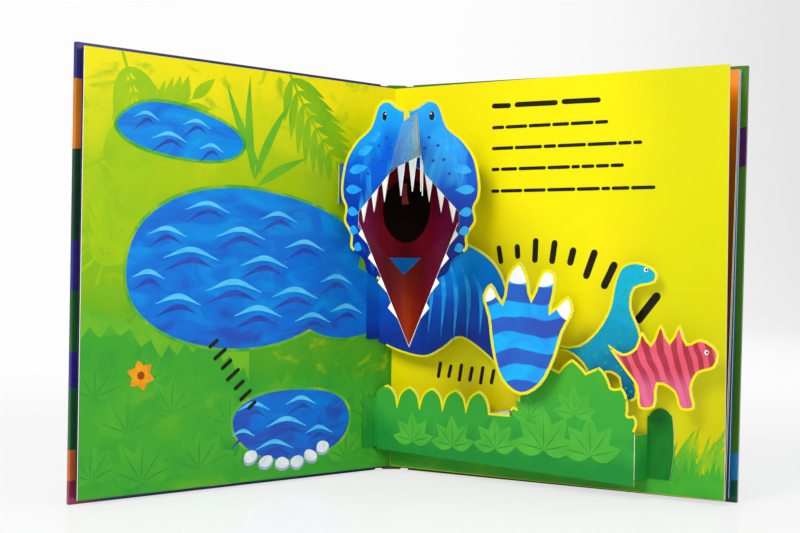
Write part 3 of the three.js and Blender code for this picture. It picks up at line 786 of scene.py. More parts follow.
def blob(centre, across, high, turn=0.0, wobble=0.0, steps=22, seed=0):
    """A rounded shape, with an uneven edge where wobble is given."""
    rng = random.Random(seed)
    phases = [rng.uniform(0, math.tau) for _ in range(3)]
    way = direction(turn)
    points = []
    for i in range(steps):
        a = math.tau * i / steps
        r = 1 + wobble * sum(math.sin((k + 2) * a + phases[k]) / (k + 1) for k in range(3))
        x, y = across / 2 * r * math.cos(a), high / 2 * r * math.sin(a)
        points.append(tuple(Vector(centre) + way * x + way.orthogonal() * y))
    return points


def bar(start, end, thick):
    """A straight stroke with round ends."""
    a, b = Vector(start), Vector(end)
    turn = math.atan2(b.y - a.y, b.x - a.x)
    steps = 5
    return [
        tuple(centre + direction(turn + offset + math.pi * i / steps) * thick / 2)
        for centre, offset in ((b, -math.pi / 2), (a, math.pi / 2)) for i in range(steps + 1)
    ]


def frond(base, angle, length, pairs, leaf_length, leaf_width, droop):
    """A feathered palm leaf: a thin stem with pairs of pointed leaflets."""
    axis = direction(angle)

    def stem(t):
        return Vector(base) + axis * length * t - axis.orthogonal() * droop * length * t * t

    shapes = [ribbon([stem(t) for t in (0, 0.35, 0.7, 1)], [2.0, 1.6, 1.0, 0.3], 4)]
    for i in range(pairs):
        t = 0.16 + 0.78 * i / pairs
        way = stem(t + 0.02) - stem(t)
        heading = math.atan2(way.y, way.x)
        size = leaf_length * math.sin(math.pi * (0.22 + 0.7 * t))
        for turn in (0.78, -0.78):
            shapes.append(leaf(stem(t), heading + turn, size, leaf_width, -0.12 * turn))
    shapes.append(leaf(stem(0.93), heading, leaf_length * 0.6, leaf_width))
    return shapes


def foliage_mass(tops, foot, tooth):
    """A bank of leaves: a jagged upper edge through a few heights, closed along its foot."""
    edge = []
    for (x0, y0), (x1, y1) in zip(tops, tops[1:]):
        count = max(1, round(abs(x1 - x0) / tooth))
        for i in range(count):
            for part, rise in ((0, 0), (0.45, 0.62), (0.8, 0.16)):
                t = (i + part) / count
                edge.append((x0 + (x1 - x0) * t, y0 + (y1 - y0) * t + tooth * rise))
    return edge + [tops[-1], (tops[-1][0], foot), (tops[0][0], foot)]


# Leaves and their print

class POPUPBOOK_OT_leaves(bpy.types.Operator):
    """Print the book's leaves: the open spread and the closed leaves fanned behind it"""

    bl_idname = "popup_book.leaves"
    bl_label = "Leaves"

    # How far behind the open page each closed leaf lies at its fore-edge, in millimetres
    FAN_FOOT = (2.1, 4.8, 11.2)
    FAN_HEAD = (22.5, 24.2, 25.9)
    HALF_LEAF = 0.45
    # Within this depth of the printed plane a face is the open page, and past this X a leaf is broad
    PAGE_DEPTH = 0.3 * MM
    SPINE_REACH = 8 * MM
    FAN_FACING = 0.93

    def execute(self, context):
        names = ["leaf_core", "left_page_print", "right_page_print", "fan_orange", "fan_olive", "fan_blue"]
        piece = copy_of("page_block", names)

        def on_page(face, out):
            depth = abs((face.center - GUTTER).dot(out))
            return face.normal.dot(out) > FACING and depth < self.PAGE_DEPTH

        paint(piece, 1, lambda f: on_page(f, TO_READER_LEFT) or f.normal.dot(TO_READER_LEFT) < -FACING)
        paint(piece, 2, lambda f: on_page(f, TO_READER_RIGHT))
        for face in piece.data.polygons:
            broad = abs(face.normal.dot(TO_READER_RIGHT)) > self.FAN_FACING
            if broad and face.center.x > self.SPINE_REACH and not on_page(face, TO_READER_RIGHT):
                face.material_index = 3 + self.leaf_at(face.center)
        done([piece], "printed_leaves", "printed_page", "page_block")
        return {"FINISHED"}

    def leaf_at(self, point):
        """Which closed leaf a point belongs to, by how far behind the open page it lies."""
        behind = (GUTTER - point).dot(TO_READER_RIGHT) / MM
        along = max((point - GUTTER).dot(ALONG_RIGHT) / (PAGE_WIDTH * MM), 0.05)
        high = (point.z - PAGE_FOOT) / (PAGE_HEAD - PAGE_FOOT)
        reaches = [foot + (head - foot) * high for foot, head in zip(self.FAN_FOOT, self.FAN_HEAD)]
        misses = [abs(behind - self.HALF_LEAF - reach * along) for reach in reaches]
        return misses.index(min(misses))


PAGE_MARGIN = 0.3
PAGE_LIMITS = (
    (PAGE_MARGIN, PAGE_FOOT / MM + PAGE_MARGIN),
    (PAGE_WIDTH - PAGE_MARGIN, PAGE_HEAD / MM - PAGE_MARGIN),
)


class POPUPBOOK_OT_left_print(bpy.types.Operator):
    """Print the left page: three pools with ripples, palm leaves, leafy banks and a flower"""

    bl_idname = "popup_book.left_print"
    bl_label = "Left page print"

    # Places and sizes across the page, in millimetres
    BLADES = (
        (118, 196, 1.9, 60), (118, 196, 1.35, 66), (112, 200, 0.95, 62), (116, 192, 2.5, 44),
        (36, 176, 2.2, 52), (36, 176, 1.7, 56), (30, 180, 1.2, 46),
    )
    BUNCHES = (
        (206, 40, 26), (228, 62, 22), (176, 50, 25), (196, 10, 27), (230, 14, 24), (156, 14, 26),
        (20, 38, 24), (40, 12, 22), (8, 8, 22), (134, 40, 22), (124, 6, 22), (196, 70, 18),
    )
    POOLS = (
        ((122, 140), 190, 96, -0.08, 0.06, 60, 6), ((48, 118), 84, 50, 0.2, 0.07, 36, 9),
        ((172, 222), 88, 32, 0.16, 0.07, 40, 12), ((84, 38), 96, 46, -0.06, 0.06, 44, 15),
    )
    RIPPLES = (
        (196, 230, 14, 2.2), (160, 228, 16, 2.2), (178, 218, 20, 2.4), (148, 214, 14, 2.2),
        (150, 176, 26, 2.6), (94, 172, 24, 2.8), (186, 160, 22, 2.8), (128, 160, 30, 3.2),
        (72, 154, 26, 3.0), (162, 146, 32, 3.4), (104, 142, 30, 3.4), (54, 132, 22, 3.0),
        (194, 134, 18, 3.0), (136, 126, 34, 3.8), (84, 122, 30, 3.6), (172, 118, 26, 3.4),
        (120, 110, 30, 3.6), (44, 112, 22, 3.2), (72, 106, 24, 3.0),
        (112, 50, 20, 2.8), (76, 52, 20, 2.8), (94, 38, 26, 3.2), (122, 34, 14, 2.4),
        (66, 32, 18, 2.6), (98, 24, 24, 2.8),
    )
    PEBBLES = ((60, 21), (70, 16), (81, 13), (93, 13), (106, 15), (118, 19))
    FLOWER = (198, 74)
    MARKS = (3.2, 4.6, 3.8, 5.0, 3.6, 4.4, 3.0)

    def execute(self, context):
        inks = (
            *self.palms(), *self.banks(), *self.pools(), *self.pebbles(), *self.flower(), *self.marks(),
        )
        page = Face(GUTTER, -ALONG_LEFT, UP, True, PAGE_LIMITS)
        done([ink(page, *each) for each in inks], "left_page_design", "printed_page")
        return {"FINISHED"}

    def palms(self):
        """Feathered palm leaves behind everything, and long blades."""
        soft = frond((238, 196), 2.75, 92, 8, 36, 7.5, 0.2) + frond((214, 268), 4.3, 66, 7, 30, 7, -0.25)
        soft += frond((238, 136), 2.5, 66, 6, 30, 7, 0.3) + frond((228, 128), 1.9, 74, 6, 26, 6, 0.2)
        fresh = frond((8, 246), 3.5, 92, 8, 40, 6, -0.1) + frond((96, 276), 4.25, 82, 7, 34, 6.5, 0.15)
        blades = [leaf((x, y), turn, length, 6, 0.16) for x, y, turn, length in self.BLADES]
        return (soft, "frond_soft", 0), (fresh, "frond_green", 1), (blades, "meadow_pale", 2)

    def banks(self):
        """Two banks of foliage, with bunches of leaves on the near one."""
        far = foliage_mass([(238, 112), (206, 104), (176, 112), (150, 98), (120, 104)], 60, 9)
        tops = [(238, 96), (212, 98), (184, 84), (150, 88), (118, 64), (60, 66), (0, 62)]
        near = foliage_mass(tops, 0, 12)
        rng = random.Random(11)
        pale, veins = [], []
        for x, y, size in self.BUNCHES:
            for turn in (0.3, 0.9, 1.5, 2.1, 2.7):
                long = size * rng.uniform(0.9, 1.1)
                pale.append(leaf((x, y), turn, long, size * 0.46, 0.1))
                veins.append(leaf((x, y), turn, long * 0.88, 1.0, 0.1))
        return (
            ([far], "meadow_pale", 3), ([near], "meadow_green", 4),
            (pale, "meadow_leaf", 5), (veins, "meadow_vein", 6),
        )

    def pools(self):
        """A broad pool between two smaller ones, with ripples."""
        pools = [blob(*pool) for pool in self.POOLS]
        shores = [blob(centre, across + 4, high + 4, *rest) for centre, across, high, *rest in self.POOLS]
        crests, hollows = [], []
        rng = random.Random(5)
        for x, y, half, thick in self.RIPPLES:
            x += rng.uniform(-0.22, 0.22) * half
            left, right = x - half * 0.62, x + half * 0.62
            crest = [(left, y - 2), (x, y + half * 0.14), (right, y - 1)]
            crests.append(ribbon(crest, [0.4, thick, 0.4], 8))
            hollow = [(left + 3, y - 2 - thick * 1.5), (x, y + half * 0.14 - thick * 1.9), (right, y - 9)]
            hollows.append(ribbon(hollow, [0.4, thick * 1.1, 0.4], 8))
        return (
            (shores, "shore", 6), (pools, "water_print", 7),
            (hollows, "water_deep", 8), (crests, "water_pale", 9),
        )

    def pebbles(self):
        rng = random.Random(8)
        shades, tops = [], []
        for i, (x, y) in enumerate(self.PEBBLES):
            lean = rng.uniform(-0.3, 0.3)
            shades.append(blob((x, y - 1.4), 11.5, 8.5, lean, 0.05, 20, i))
            tops.append(blob((x, y), 10.5, 7.6, lean, 0.05, 20, i))
        return (shades, "pebble_shade", 10), (tops, "pebble", 11)

    def flower(self):
        petals = [leaf(self.FLOWER, math.tau * i / 6 + 0.3, 9.5, 6.5) for i in range(6)]
        return (petals, "flower_orange", 9), ([blob(self.FLOWER, 5, 5)], "flower_heart", 10)

    def marks(self):
        """A slanting row of plain strokes."""
        strokes = []
        for i, half in enumerate(self.MARKS):
            x, y = 147 - 4.9 * i, 92 - 6.7 * i
            strokes.append(bar((x + 0.8 * half, y - 0.6 * half), (x - 0.8 * half, y + 0.6 * half), 2.5))
        return ((strokes, "text_black", 10),)


class POPUPBOOK_OT_right_print(bpy.types.Operator):
    """Print the right page: plain bars for text, a sweep of large strokes and grass"""

    bl_idname = "popup_book.right_print"
    bl_label = "Right page print"

    # The left end of the bars, the words of the heading, and each line's height and right end
    TEXT_LEFT = 78
    HEADING = (17, 34, 30)
    LINES = ((236, 168), (222, 190), (208, 176), (193.5, 194))
    LOW_MARKS = (9, 7, 10, 8, 10, 8)

    def execute(self, context):
        page = Face(GUTTER, ALONG_RIGHT, UP, False, PAGE_LIMITS)
        inks = (self.text(), self.sweep(), *self.grass())
        done([ink(page, *each) for each in inks], "right_page_design", "printed_page")
        return {"FINISHED"}

    def text(self):
        """Plain bars set like a heading and four lines."""
        rng = random.Random(21)
        bars = []
        x = self.TEXT_LEFT
        for length in self.HEADING:
            bars.append(bar((x, 250.5), (x + length - 6, 250.2), 3.4))
            x += length
        for height, end in self.LINES:
            x = self.TEXT_LEFT
            while x < end - 6:
                length = min(rng.choice((7, 10, 13, 17, 21)), end - x)
                bars.append(bar((x, height), (x + length - 3.2, height), 2.3))
                x += length
        return bars, "text_black", 0

    def sweep(self):
        """Large dark strokes that fan along an arc, and a short row low down by the gutter."""
        strokes = []
        for i in range(9):
            t = i / 8
            centre = Vector((84 + 104 * t, 151 + 9 * math.sin(math.pi * t * 0.8) - 38 * t * t))
            tall = (9 + 7 * t) * (1.0, 0.62, 1.15)[i % 3]
            half = direction(1.75 - 0.85 * t) * tall / 2
            strokes.append(bar(centre - half, centre + half, 3.6 + 1.8 * t))
        for i, tall in enumerate(self.LOW_MARKS):
            x, y = 38 + 8.2 * i, 72 - 0.5 * i
            strokes.append(bar((x, y - tall / 2), (x + 1.6, y + tall / 2), 2.6))
        return strokes, "text_black", 0

    def grass(self):
        """A low bank with grass that leans towards the fore-edge."""
        rng = random.Random(4)
        bank = foliage_mass([(0, 30), (60, 34), (120, 30), (176, 30), (204, 24), (238, 12)], 0, 10)
        blades, front = [], []
        for i in range(46):
            x = 178 + 60 * (i + 0.5) / 46 + rng.uniform(-1, 1)
            tall = rng.uniform(20, 34) * (0.75 + 0.4 * (x - 178) / 60)
            lean = math.pi / 2 - rng.uniform(0.1, 0.55)
            blades.append(leaf((x, 10 + rng.uniform(0, 8)), lean, tall, 2.6, -0.08))
        for i in range(30):
            lean = math.pi / 2 - rng.uniform(-0.2, 0.4)
            front.append(leaf((150 + 88 * (i + 0.5) / 30, 3), lean, rng.uniform(16, 26), 4.4, -0.06))
        return ([bank], "meadow_green", 0), (blades, "grass_green", 1), (front, "meadow_green", 2)


# The raised head

MOUTH_SHOULDER = (0.24, 203)  # where the lip's slope starts: share of the panel, and height
MOUTH_CORNER = (0.72, 178)  # where the slope ends
MOUTH_FOOT = 135 * MM
MOUTH_HEAD = 214 * MM
TOOTH_START = 0.2  # share of the panel where the teeth begin
TOOTH_DROP = 20 * MM  # how far below the mouth's corner a tooth can reach
LIP = 0.06  # share of the panel that the lip takes beyond the mouth's corner
HALF_FACE = {-1: 53.8, 1: 51.0}  # width of each panel, in millimetres


def panel(side):
    """The printed front of one face panel, measured outwards from the fold."""
    total = Vector((0, 0, 0))
    for face in polygons("face_card"):
        level = face.normal.y < -0.5 and abs(face.normal.z) < 0.05
        if level and (face.center.x - JAW_FOLD_X) * side > 6 * MM:
            total += face.normal * face.area
    fold = plan(min(vertices("face_card"), key=lambda v: v.y))
    return upright_face("face_card", plan(total).normalized(), fold, side < 0)


class POPUPBOOK_OT_face(bpy.types.Operator):
    """Print and finish the raised face with its border, eyes, spots and upper teeth"""

    bl_idname = "popup_book.face"
    bl_label = "Face"

    # Share of the panel's width, height in millimetres, turn and length
    SPOTS = (
        (0.56, 224, 2.5, 11), (0.74, 216, 2.7, 14), (0.88, 205, 2.9, 16), (0.93, 193, 3.1, 14),
        (0.9, 179, 3.25, 10), (0.86, 167, 3.4, 8), (0.78, 156, 3.5, 7),
    )
    FLECKS = ((0.3, 226), (0.42, 221), (0.24, 219), (0.5, 212), (0.36, 211), (0.58, 203))
    EYE = (0.34, 240.5)

    def execute(self, context):
        names = ["card_core", "border_yellow", "hide_blue", "tooth_white", "plain_card"]
        piece = copy_of("face_card", names)
        panels = {side: panel(side) for side in (-1, 1)}

        def facing(face, sign):
            return any(face.normal.dot(each.out) * sign > FACING for each in panels.values())

        paint(piece, 4, lambda f: facing(f, -1))
        edge_of(piece, context.scene.popup_sizes.border, lambda f: facing(f, 1), 1, 2)
        for side, face in panels.items():
            self.teeth(piece, face, HALF_FACE[side])
        inks = [each for side, face in panels.items() for each in self.marks(face, HALF_FACE[side])]
        done([piece, *inks], "raised_face", "blue_card", "face_card")
        return {"FINISHED"}

    def teeth(self, piece, face, half):
        """White teeth below the line from the lip's shoulder to the corner of the mouth."""
        shoulder = face.point(MOUTH_SHOULDER[0] * half, MOUTH_SHOULDER[1])
        corner = face.point(MOUTH_CORNER[0] * half, MOUTH_CORNER[1])
        down = -upward(face.out.cross(corner - shoulder))
        cut(piece, shoulder, down)

        def share(f):
            return (f.center - face.zero).dot(face.along) * face.sign / (half * MM)

        def near_mouth(f):
            high = MOUTH_FOOT < f.center.z < MOUTH_HEAD
            return high and f.normal.dot(face.out) > FACING and share(f) < MOUTH_CORNER[0] + LIP

        def tooth(f):
            below = (f.center - shoulder).dot(down) > 0 and f.center.z > corner.z - TOOTH_DROP
            return near_mouth(f) and below and TOOTH_START < share(f) < MOUTH_CORNER[0]

        paint(piece, 2, lambda f: near_mouth(f) and f.material_index == 1)
        paint(piece, 3, tooth)

    def marks(self, face, half):
        """Spots, flecks and the eye of one panel, with a painted highlight on the pupil."""
        spots = [leaf((share * half, y), turn, size, 6.2, 0.08) for share, y, turn, size in self.SPOTS]
        flecks = [blob((share * half, y), 2.6, 2.0, 0.4, 0, 12) for share, y in self.FLECKS]
        x, y = self.EYE[0] * half, self.EYE[1]
        return [
            ink(face, spots, "hide_pale", 0),
            ink(face, flecks, "hide_deep", 0),
            ink(face, [blob((x, y), 6.2, 8.2)], "hide_pale", 1),
            ink(face, [blob((x - 0.4, y - 0.4), 3.6, 6.0)], "eye_black", 2),
            # A painted highlight: a white glint on the pupil
            ink(face, [blob((x - 1.0, y + 1.1), 1.0, 1.2)], "tooth_white", 3),
        ]


class POPUPBOOK_OT_snout(bpy.types.Operator):
    """Print and finish the folded snout with its hanging teeth"""

    bl_idname = "popup_book.snout"
    bl_label = "Snout"

    # What is cut in each half reaches this far over the fold, and a tooth lies this far below the rim
    OVERLAP = 0.3 * MM
    RIM = 0.15 * MM
    CUT_EDGE = 6 * MM * MM  # a smaller face that looks forwards is a cut edge
    # Across and from foot to head of the painted highlight along the fold, in millimetres
    HIGHLIGHT_START = ((0.0, 0.6), (1.3, 0.9))
    HIGHLIGHT_END = 3

    def execute(self, context):
        piece = copy_of("snout_card", ["card_core", "snout_print_and_sheen", "mouth_print", "tooth_white"])
        tip = min(vertices("snout_card"), key=lambda v: v.y)
        down = {side: self.below(side, tip) for side in (-1, 1)}
        for side in (-1, 1):
            cut(piece, tip, down[side], lambda f: (f.center.x - tip.x) * side > -self.OVERLAP)
        for face in piece.data.polygons:
            side = 1 if face.center.x > tip.x else -1
            outward = face.normal.x * side
            if abs(outward) >= 0.3 or face.area >= self.CUT_EDGE:
                face.material_index = 1 if outward > 0.2 else 2 if outward < -0.2 else 0
            if (face.center - tip).dot(down[side]) > self.RIM:
                face.material_index = 3
        # A painted highlight along each side of the fold
        lines = [self.fold_highlight(side, tip) for side in (-1, 1)]
        done([piece, *lines], "raised_snout", "sky_card", "snout_card")
        return {"FINISHED"}

    def below(self, side, tip):
        """The way down from the lower edge of one side of the snout, within that side."""
        found = [v for v in vertices("snout_card") if (v.x - JAW_FOLD_X) * side > 0]
        line = max(found, key=lambda v: (abs(v.x - JAW_FOLD_X), -v.z)) - tip
        return -upward(line.cross(UP).cross(line))

    def fold_highlight(self, side, tip):
        """A painted white highlight along the fold at the front of the snout."""
        brow = max(vertices("snout_card"), key=lambda v: (round(v.z, 4), -v.y))
        broad = [
            f for f in polygons("snout_card")
            if f.normal.x * side > 0.3 and (f.center.x - tip.x) * side > 0
        ]
        out = max(broad, key=lambda f: f.area).normal
        zero = tip + out * (max(f.center.dot(out) for f in broad) - tip.dot(out))
        face = Face(zero, (brow - tip).cross(out), brow - tip, side < 0)
        length = (brow - tip).length / MM - self.HIGHLIGHT_END
        return ink(face, [[*self.HIGHLIGHT_START, (0.9, length), (0.0, length)]], "tooth_white", 1)


class POPUPBOOK_OT_jaw(bpy.types.Operator):
    """Print and finish the folded lower jaw with its small teeth"""

    bl_idname = "popup_book.jaw"
    bl_label = "Lower jaw"

    FOLD_REACH = 1.5 * MM  # half the width of the fold
    SIDE_REACH = 3 * MM  # beyond this a small face is a cut edge
    CUT_EDGE = 8 * MM * MM
    RIM = 0.2 * MM
    STRIP_LIFT = 0.42 * MM

    def execute(self, context):
        piece = copy_of("lower_jaw_card", ["card_core", "jaw_print_and_shade", "jaw_under", "tooth_white"])
        points = vertices("lower_jaw_card")
        tip = min(points, key=lambda v: v.z)
        hinge = max((v for v in points if abs(v.x - tip.x) < self.FOLD_REACH), key=lambda v: v.y)
        away = {}
        for side in (-1, 1):
            corner = max((v for v in points if (v.x - tip.x) * side > 0), key=lambda v: v.z)
            line = corner - tip
            flat = line.cross(hinge - tip)
            away[side] = line.cross(flat).normalized()
            cut(piece, corner, away[side], lambda f: (f.center.x - tip.x) * side > 0)
        for face in piece.data.polygons:
            self.paint_face(face, face.center - tip, away)
        done([piece, self.crease_strip(tip, hinge)], "raised_jaw", "red_card", "lower_jaw_card")
        return {"FINISHED"}

    def paint_face(self, face, place, away):
        """Gives one face of the jaw its print, by which way it looks and where it lies."""
        up = face.normal.z
        index = 1 if up > 0.1 else 2 if up < -0.1 else 0
        if face.area < self.CUT_EDGE and abs(place.x) > self.SIDE_REACH:
            index = 0
        if abs(place.x) < self.FOLD_REACH and abs(face.normal.x) > 0.85:
            index = 1
        if place.dot(away[1 if place.x > 0 else -1]) > self.RIM:
            index = 3
        face.material_index = index

    def crease_strip(self, tip, hinge):
        """The bent sheet itself along the jaw's fold, as a narrow strip in the trough."""
        fold = hinge - tip
        out = upward(Vector((1, 0, 0)).cross(fold))
        face = Face(tip + out * self.STRIP_LIFT, fold.cross(out), fold)
        length = fold.length / MM - 0.3
        return ink(face, [[(-0.2, 1.2), (0.2, 1.2), (1.4, length), (-1.4, length)]], "jaw_print_and_shade")


class POPUPBOOK_OT_lining(bpy.types.Operator):
    """Print the pocket behind the mouth, darkened with painted shade, and its throat, a black oval of
    painted shade
    """

    bl_idname = "popup_book.lining"
    bl_label = "Mouth lining"

    THROAT = ((5.8, 180), 32, 43, 0, 0.02, 36, 2)
    TONGUE = ([(4.6, 198), (4.4, 190), (4.9, 184)], [2.2, 3.4, 4.6], 6)

    def execute(self, context):
        piece = copy_of("mouth_lining_card", ["card_core", "lining_print_and_shade", "plain_card"])
        for index, sign in ((1, -1), (2, 1)):
            paint(piece, index, lambda f: f.normal.y * sign > 0.15 and abs(f.normal.z) < 0.3)
        back = upright_face("mouth_lining_card", Vector((0, -1, 0)))
        # The throat: a black oval of painted shade at the back of the mouth
        throat = ink(back, [blob(*self.THROAT)], "throat_dark", 0)
        tongue = ink(back, [ribbon(*self.TONGUE)], "tongue_red", 1)
        done([piece, throat, tongue], "mouth_lining", "maroon_card", "mouth_lining_card")
        return {"FINISHED"}


# The raised layers beside the head

TAB_DEPTH = 2.5 * MM


def bordered_card(node, print_name, border, keep_border=lambda face: True):
    """A die-cut card with a printed front, a border, a white core and a plain back."""
    piece = copy_of(node, ["card_core", "border_yellow", print_name, "plain_card"])
    width = bpy.context.scene.popup_sizes.border * border
    for index, sign in ((2, 1), (3, -1)):
        paint(piece, index, lambda f: any(
            f.normal.dot(out) * sign > FACING for out in (TO_READER_RIGHT, TO_READER_LEFT)
        ))
    edge_of(piece, width, lambda f: f.normal.dot(TO_READER_RIGHT) > FACING, 1, 2)

    def tab(face):
        """A face of the tab that is glued to the left page."""
        return (face.center - GUTTER).dot(TO_READER_LEFT) < TAB_DEPTH and face.center.x < GUTTER.x

    paint(piece, 2, lambda f: tab(f) or (f.material_index == 1 and not keep_border(f)))
    return piece


def past_gutter(point):
    """How far a point lies from the gutter along the right-hand page, in millimetres."""
    return (point - GUTTER).dot(ALONG_RIGHT) / MM


class POPUPBOOK_OT_shoulder(bpy.types.Operator):
    """Print and finish the raised shoulder and paw"""

    bl_idname = "popup_book.shoulder"
    bl_label = "Shoulder and paw"

    def execute(self, context):
        body = bordered_card("body_card", "body_print", 0.7, lambda f: past_gutter(f.center) > 4)
        streaks = []
        for i in range(7):
            x = 28 + 9.5 * i
            foot = 92 + 3.2 * abs(i - 3)
            top = 150 - 1.3 * (i - 2) ** 2
            line = [(x - 5, top), (x + 1.5, (top + foot) / 2 + 6), (x - 1 + i * 0.4, foot)]
            streaks.append(ribbon(line, [0.5, 3.4, 0.4], 8))
        streaks = ink(upright_face("body_card", TO_READER_RIGHT), streaks, "body_streak")
        done([body, streaks], "raised_shoulder", "sky_card", "body_card")
        done([bordered_card("paw_card", "paw_print", 1)], "raised_paw", "sky_card", "paw_card")
        return {"FINISHED"}


class POPUPBOOK_OT_bushes(bpy.types.Operator):
    """Print and finish the long strip of bushes"""

    bl_idname = "popup_book.bushes"
    bl_label = "Bushes"

    BUNCHES = (
        (27, 24, 19), (58, 23, 20), (90, 24, 20), (125, 26, 28), (157, 25, 25), (146, 50, 18),
        (114, 46, 15),
    )
    LEAVES = ((0.2, 0.86), (0.88, 0.96), (1.56, 1.04), (2.24, 0.94), (2.92, 0.84))
    # Along the strip in millimetres: where the border starts, where it ends, and where the tab starts
    BORDER_START = 5
    BORDER_END = 183
    TAB_START = 188.5
    FOOT_END = 180
    # The border keeps this far above the strip's foot, and at its end above this height
    FOOT_MARGIN = 4 * MM
    END_FOOT = 36 * MM

    def execute(self, context):
        points = vertices("bush_card")
        fronts = [p for p in polygons("bush_card") if p.normal.dot(TO_READER_RIGHT) > FACING]
        strip = [points[i] for p in fronts for i in p.vertices]
        foot = min(v.z for v in strip if past_gutter(v) < self.FOOT_END) + self.FOOT_MARGIN

        def keep(face):
            along, high = past_gutter(face.center), face.center.z
            at_end = along > self.BORDER_END and high < self.END_FOOT
            return high > foot and along > self.BORDER_START and not at_end

        piece = bordered_card("bush_card", "bush_print", 0.8, keep)
        piece.data.materials.append(finish("bush_dark"))
        paint(piece, 4, lambda f: past_gutter(f.center) > self.TAB_START and f.material_index > 0)
        pale, ribs = [], []
        for x, y, size in self.BUNCHES:
            for turn, long in self.LEAVES:
                pale.append(leaf((x, y), turn, size * long, size * 0.46, 0.06))
                ribs.append(leaf((x, y), turn, size * long * 0.86, 0.8, 0.06))
        face = upright_face("bush_card", TO_READER_RIGHT)
        inks = [ink(face, pale, "bush_pale", 0), ink(face, ribs, "bush_print", 1)]
        done([piece, *inks], "raised_bushes", "leaf_card", "bush_card")
        return {"FINISHED"}


class POPUPBOOK_OT_animals(bpy.types.Operator):
    """Print and finish the two small raised animals"""

    bl_idname = "popup_book.animals"
    bl_label = "Small animals"

    ANIMALS = (("longneck", "teal", (190, 142)), ("plateback", "pink", (231, 93)))

    def execute(self, context):
        for name, colour, eye in self.ANIMALS:
            node = f"{name}_card"
            face = upright_face(node, TO_READER_RIGHT)
            parts = [
                bordered_card(node, f"{colour}_print", 0.8),
                ink(face, [blob(eye, 2.6, 3)], "tooth_white", 0),
                ink(face, [blob((eye[0] + 0.3, eye[1]), 1.3, 1.7)], "eye_black", 1),
            ]
            done(parts, f"raised_{name}", f"{colour}_card", node)
        return {"FINISHED"}


# The case

JOINT_REACH = 4.9 * MM  # width of the joint strip that is cut off a board
PAPER_LIFT = 1.55 * MM  # from the hinge line out to the paper that bends round it
BOARD_LIFT = 1.78 * MM  # from the hinge's plane out to the paper on the board
PAPER_GAP = 0.25 * MM  # from the back of the spine to the middle of the paper
PAPER = 0.22 * MM  # thickness of the paper
BOARD_START = 4.4 * MM  # where the paper has come up onto the board


class POPUPBOOK_OT_case(bpy.types.Operator):
    """Cover the boards and the spine with laminated paper, joints included"""

    bl_idname = "popup_book.case"
    bl_label = "Case"

    def execute(self, context):
        edge = context.scene.popup_sizes.board_edge
        for name, side, material in (("front", -1, "case_navy"), ("back", 1, "case_green")):
            node, body, slot = f"{name}_board", f"{name}_cover", f"case_paper_{name}"
            joint = next(j for j in frame["joints"] if j["name"] == f"{body}_hinge")
            hinge = plan(Vector(joint["pos_m"]))
            board = self.board(node, hinge + self.way(node, hinge) * JOINT_REACH, hinge, material, edge)
            done([board], body, slot, node, body=body)
            profile = self.groove(side, hinge, self.way(node, hinge, 10 * MM))
            wrap = self.paper_joint(f"{body}_joint", profile, material)
            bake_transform(wrap)
        spine = copy_of("spine_board", ["case_green"])
        applied(spine, "BEVEL", width=edge, segments=3)
        done([spine], "covered_spine", "case_paper_back", "spine_board")
        for name, material in (("front", "endpaper_purple"), ("back", "endpaper_blue")):
            covered(frame["nodes"][f"{name}_pastedown"], [material])
        return {"FINISHED"}

    def way(self, node, hinge, ceiling=math.inf):
        """The level way from a hinge to the farthest corner of its board that lies below a height."""
        found = [plan(v) - hinge for v in vertices(node) if v.z < ceiling]
        return max(found, key=lambda v: v.length).normalized()

    def board(self, node, start, hinge, material, edge):
        """A covered board without its joint strip, its edges rounded by the paper that wraps them."""
        piece = copy_of(node, [material], flats=False)
        edit(piece, lambda: bpy.ops.mesh.bisect(
            plane_co=start, plane_no=(hinge - start).normalized(), use_fill=True, clear_outer=True
        ), merge_flats)
        corner = math.radians(50)
        applied(piece, "BEVEL", width=edge, segments=3, limit_method="ANGLE", angle_limit=corner)
        return piece

    def groove(self, side, hinge, way):
        """The plan line of the paper from the spine, round the hinge and onto the board."""
        low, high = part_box("spine_board")
        edge_x, back = (low.x if side < 0 else high.x), high.y + PAPER_GAP
        out = UP.cross(way) * side
        line = [Vector((edge_x - side * 1.6 * MM, back, 0)), Vector((edge_x, back, 0))]
        start = math.atan2(back - hinge.y, edge_x - hinge.x)
        end = math.atan2(out.y, out.x)
        if (end - start) * side > 0:
            end -= math.tau * side
        for i in range(9):
            turn = direction(start + (end - start) * (0.22 + 0.78 * i / 8))
            line.append(hinge + turn.to_3d() * PAPER_LIFT)
        for reach in (2.0, 3.2, 4.4, 5.6, 7.0):
            share = min(1.0, reach * MM / BOARD_START)
            line.append(hinge + way * reach * MM + out * (PAPER_LIFT + (BOARD_LIFT - PAPER_LIFT) * share))
        return line

    def paper_joint(self, name, profile, material):
        """The cover paper in the groove between the spine and a board, as a thin bent sheet."""
        count = len(profile) - 1
        bpy.ops.mesh.primitive_grid_add(x_subdivisions=count, y_subdivisions=6, size=1)
        piece = bpy.context.object
        piece.name = name
        low, high = (corner.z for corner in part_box("spine_board"))
        low, high = low + 0.4 * MM, high - 0.4 * MM
        for vertex in piece.data.vertices:
            point = profile[round((vertex.co.x + 0.5) * count)]
            vertex.co = (point.x, point.y, low + (high - low) * (vertex.co.y + 0.5))
        applied(piece, "SOLIDIFY", thickness=PAPER, offset=0)
        edit(piece, turn_outward)
        covered(piece, [material])
        bpy.ops.object.shade_smooth_by_angle(angle=math.radians(40))
        return piece


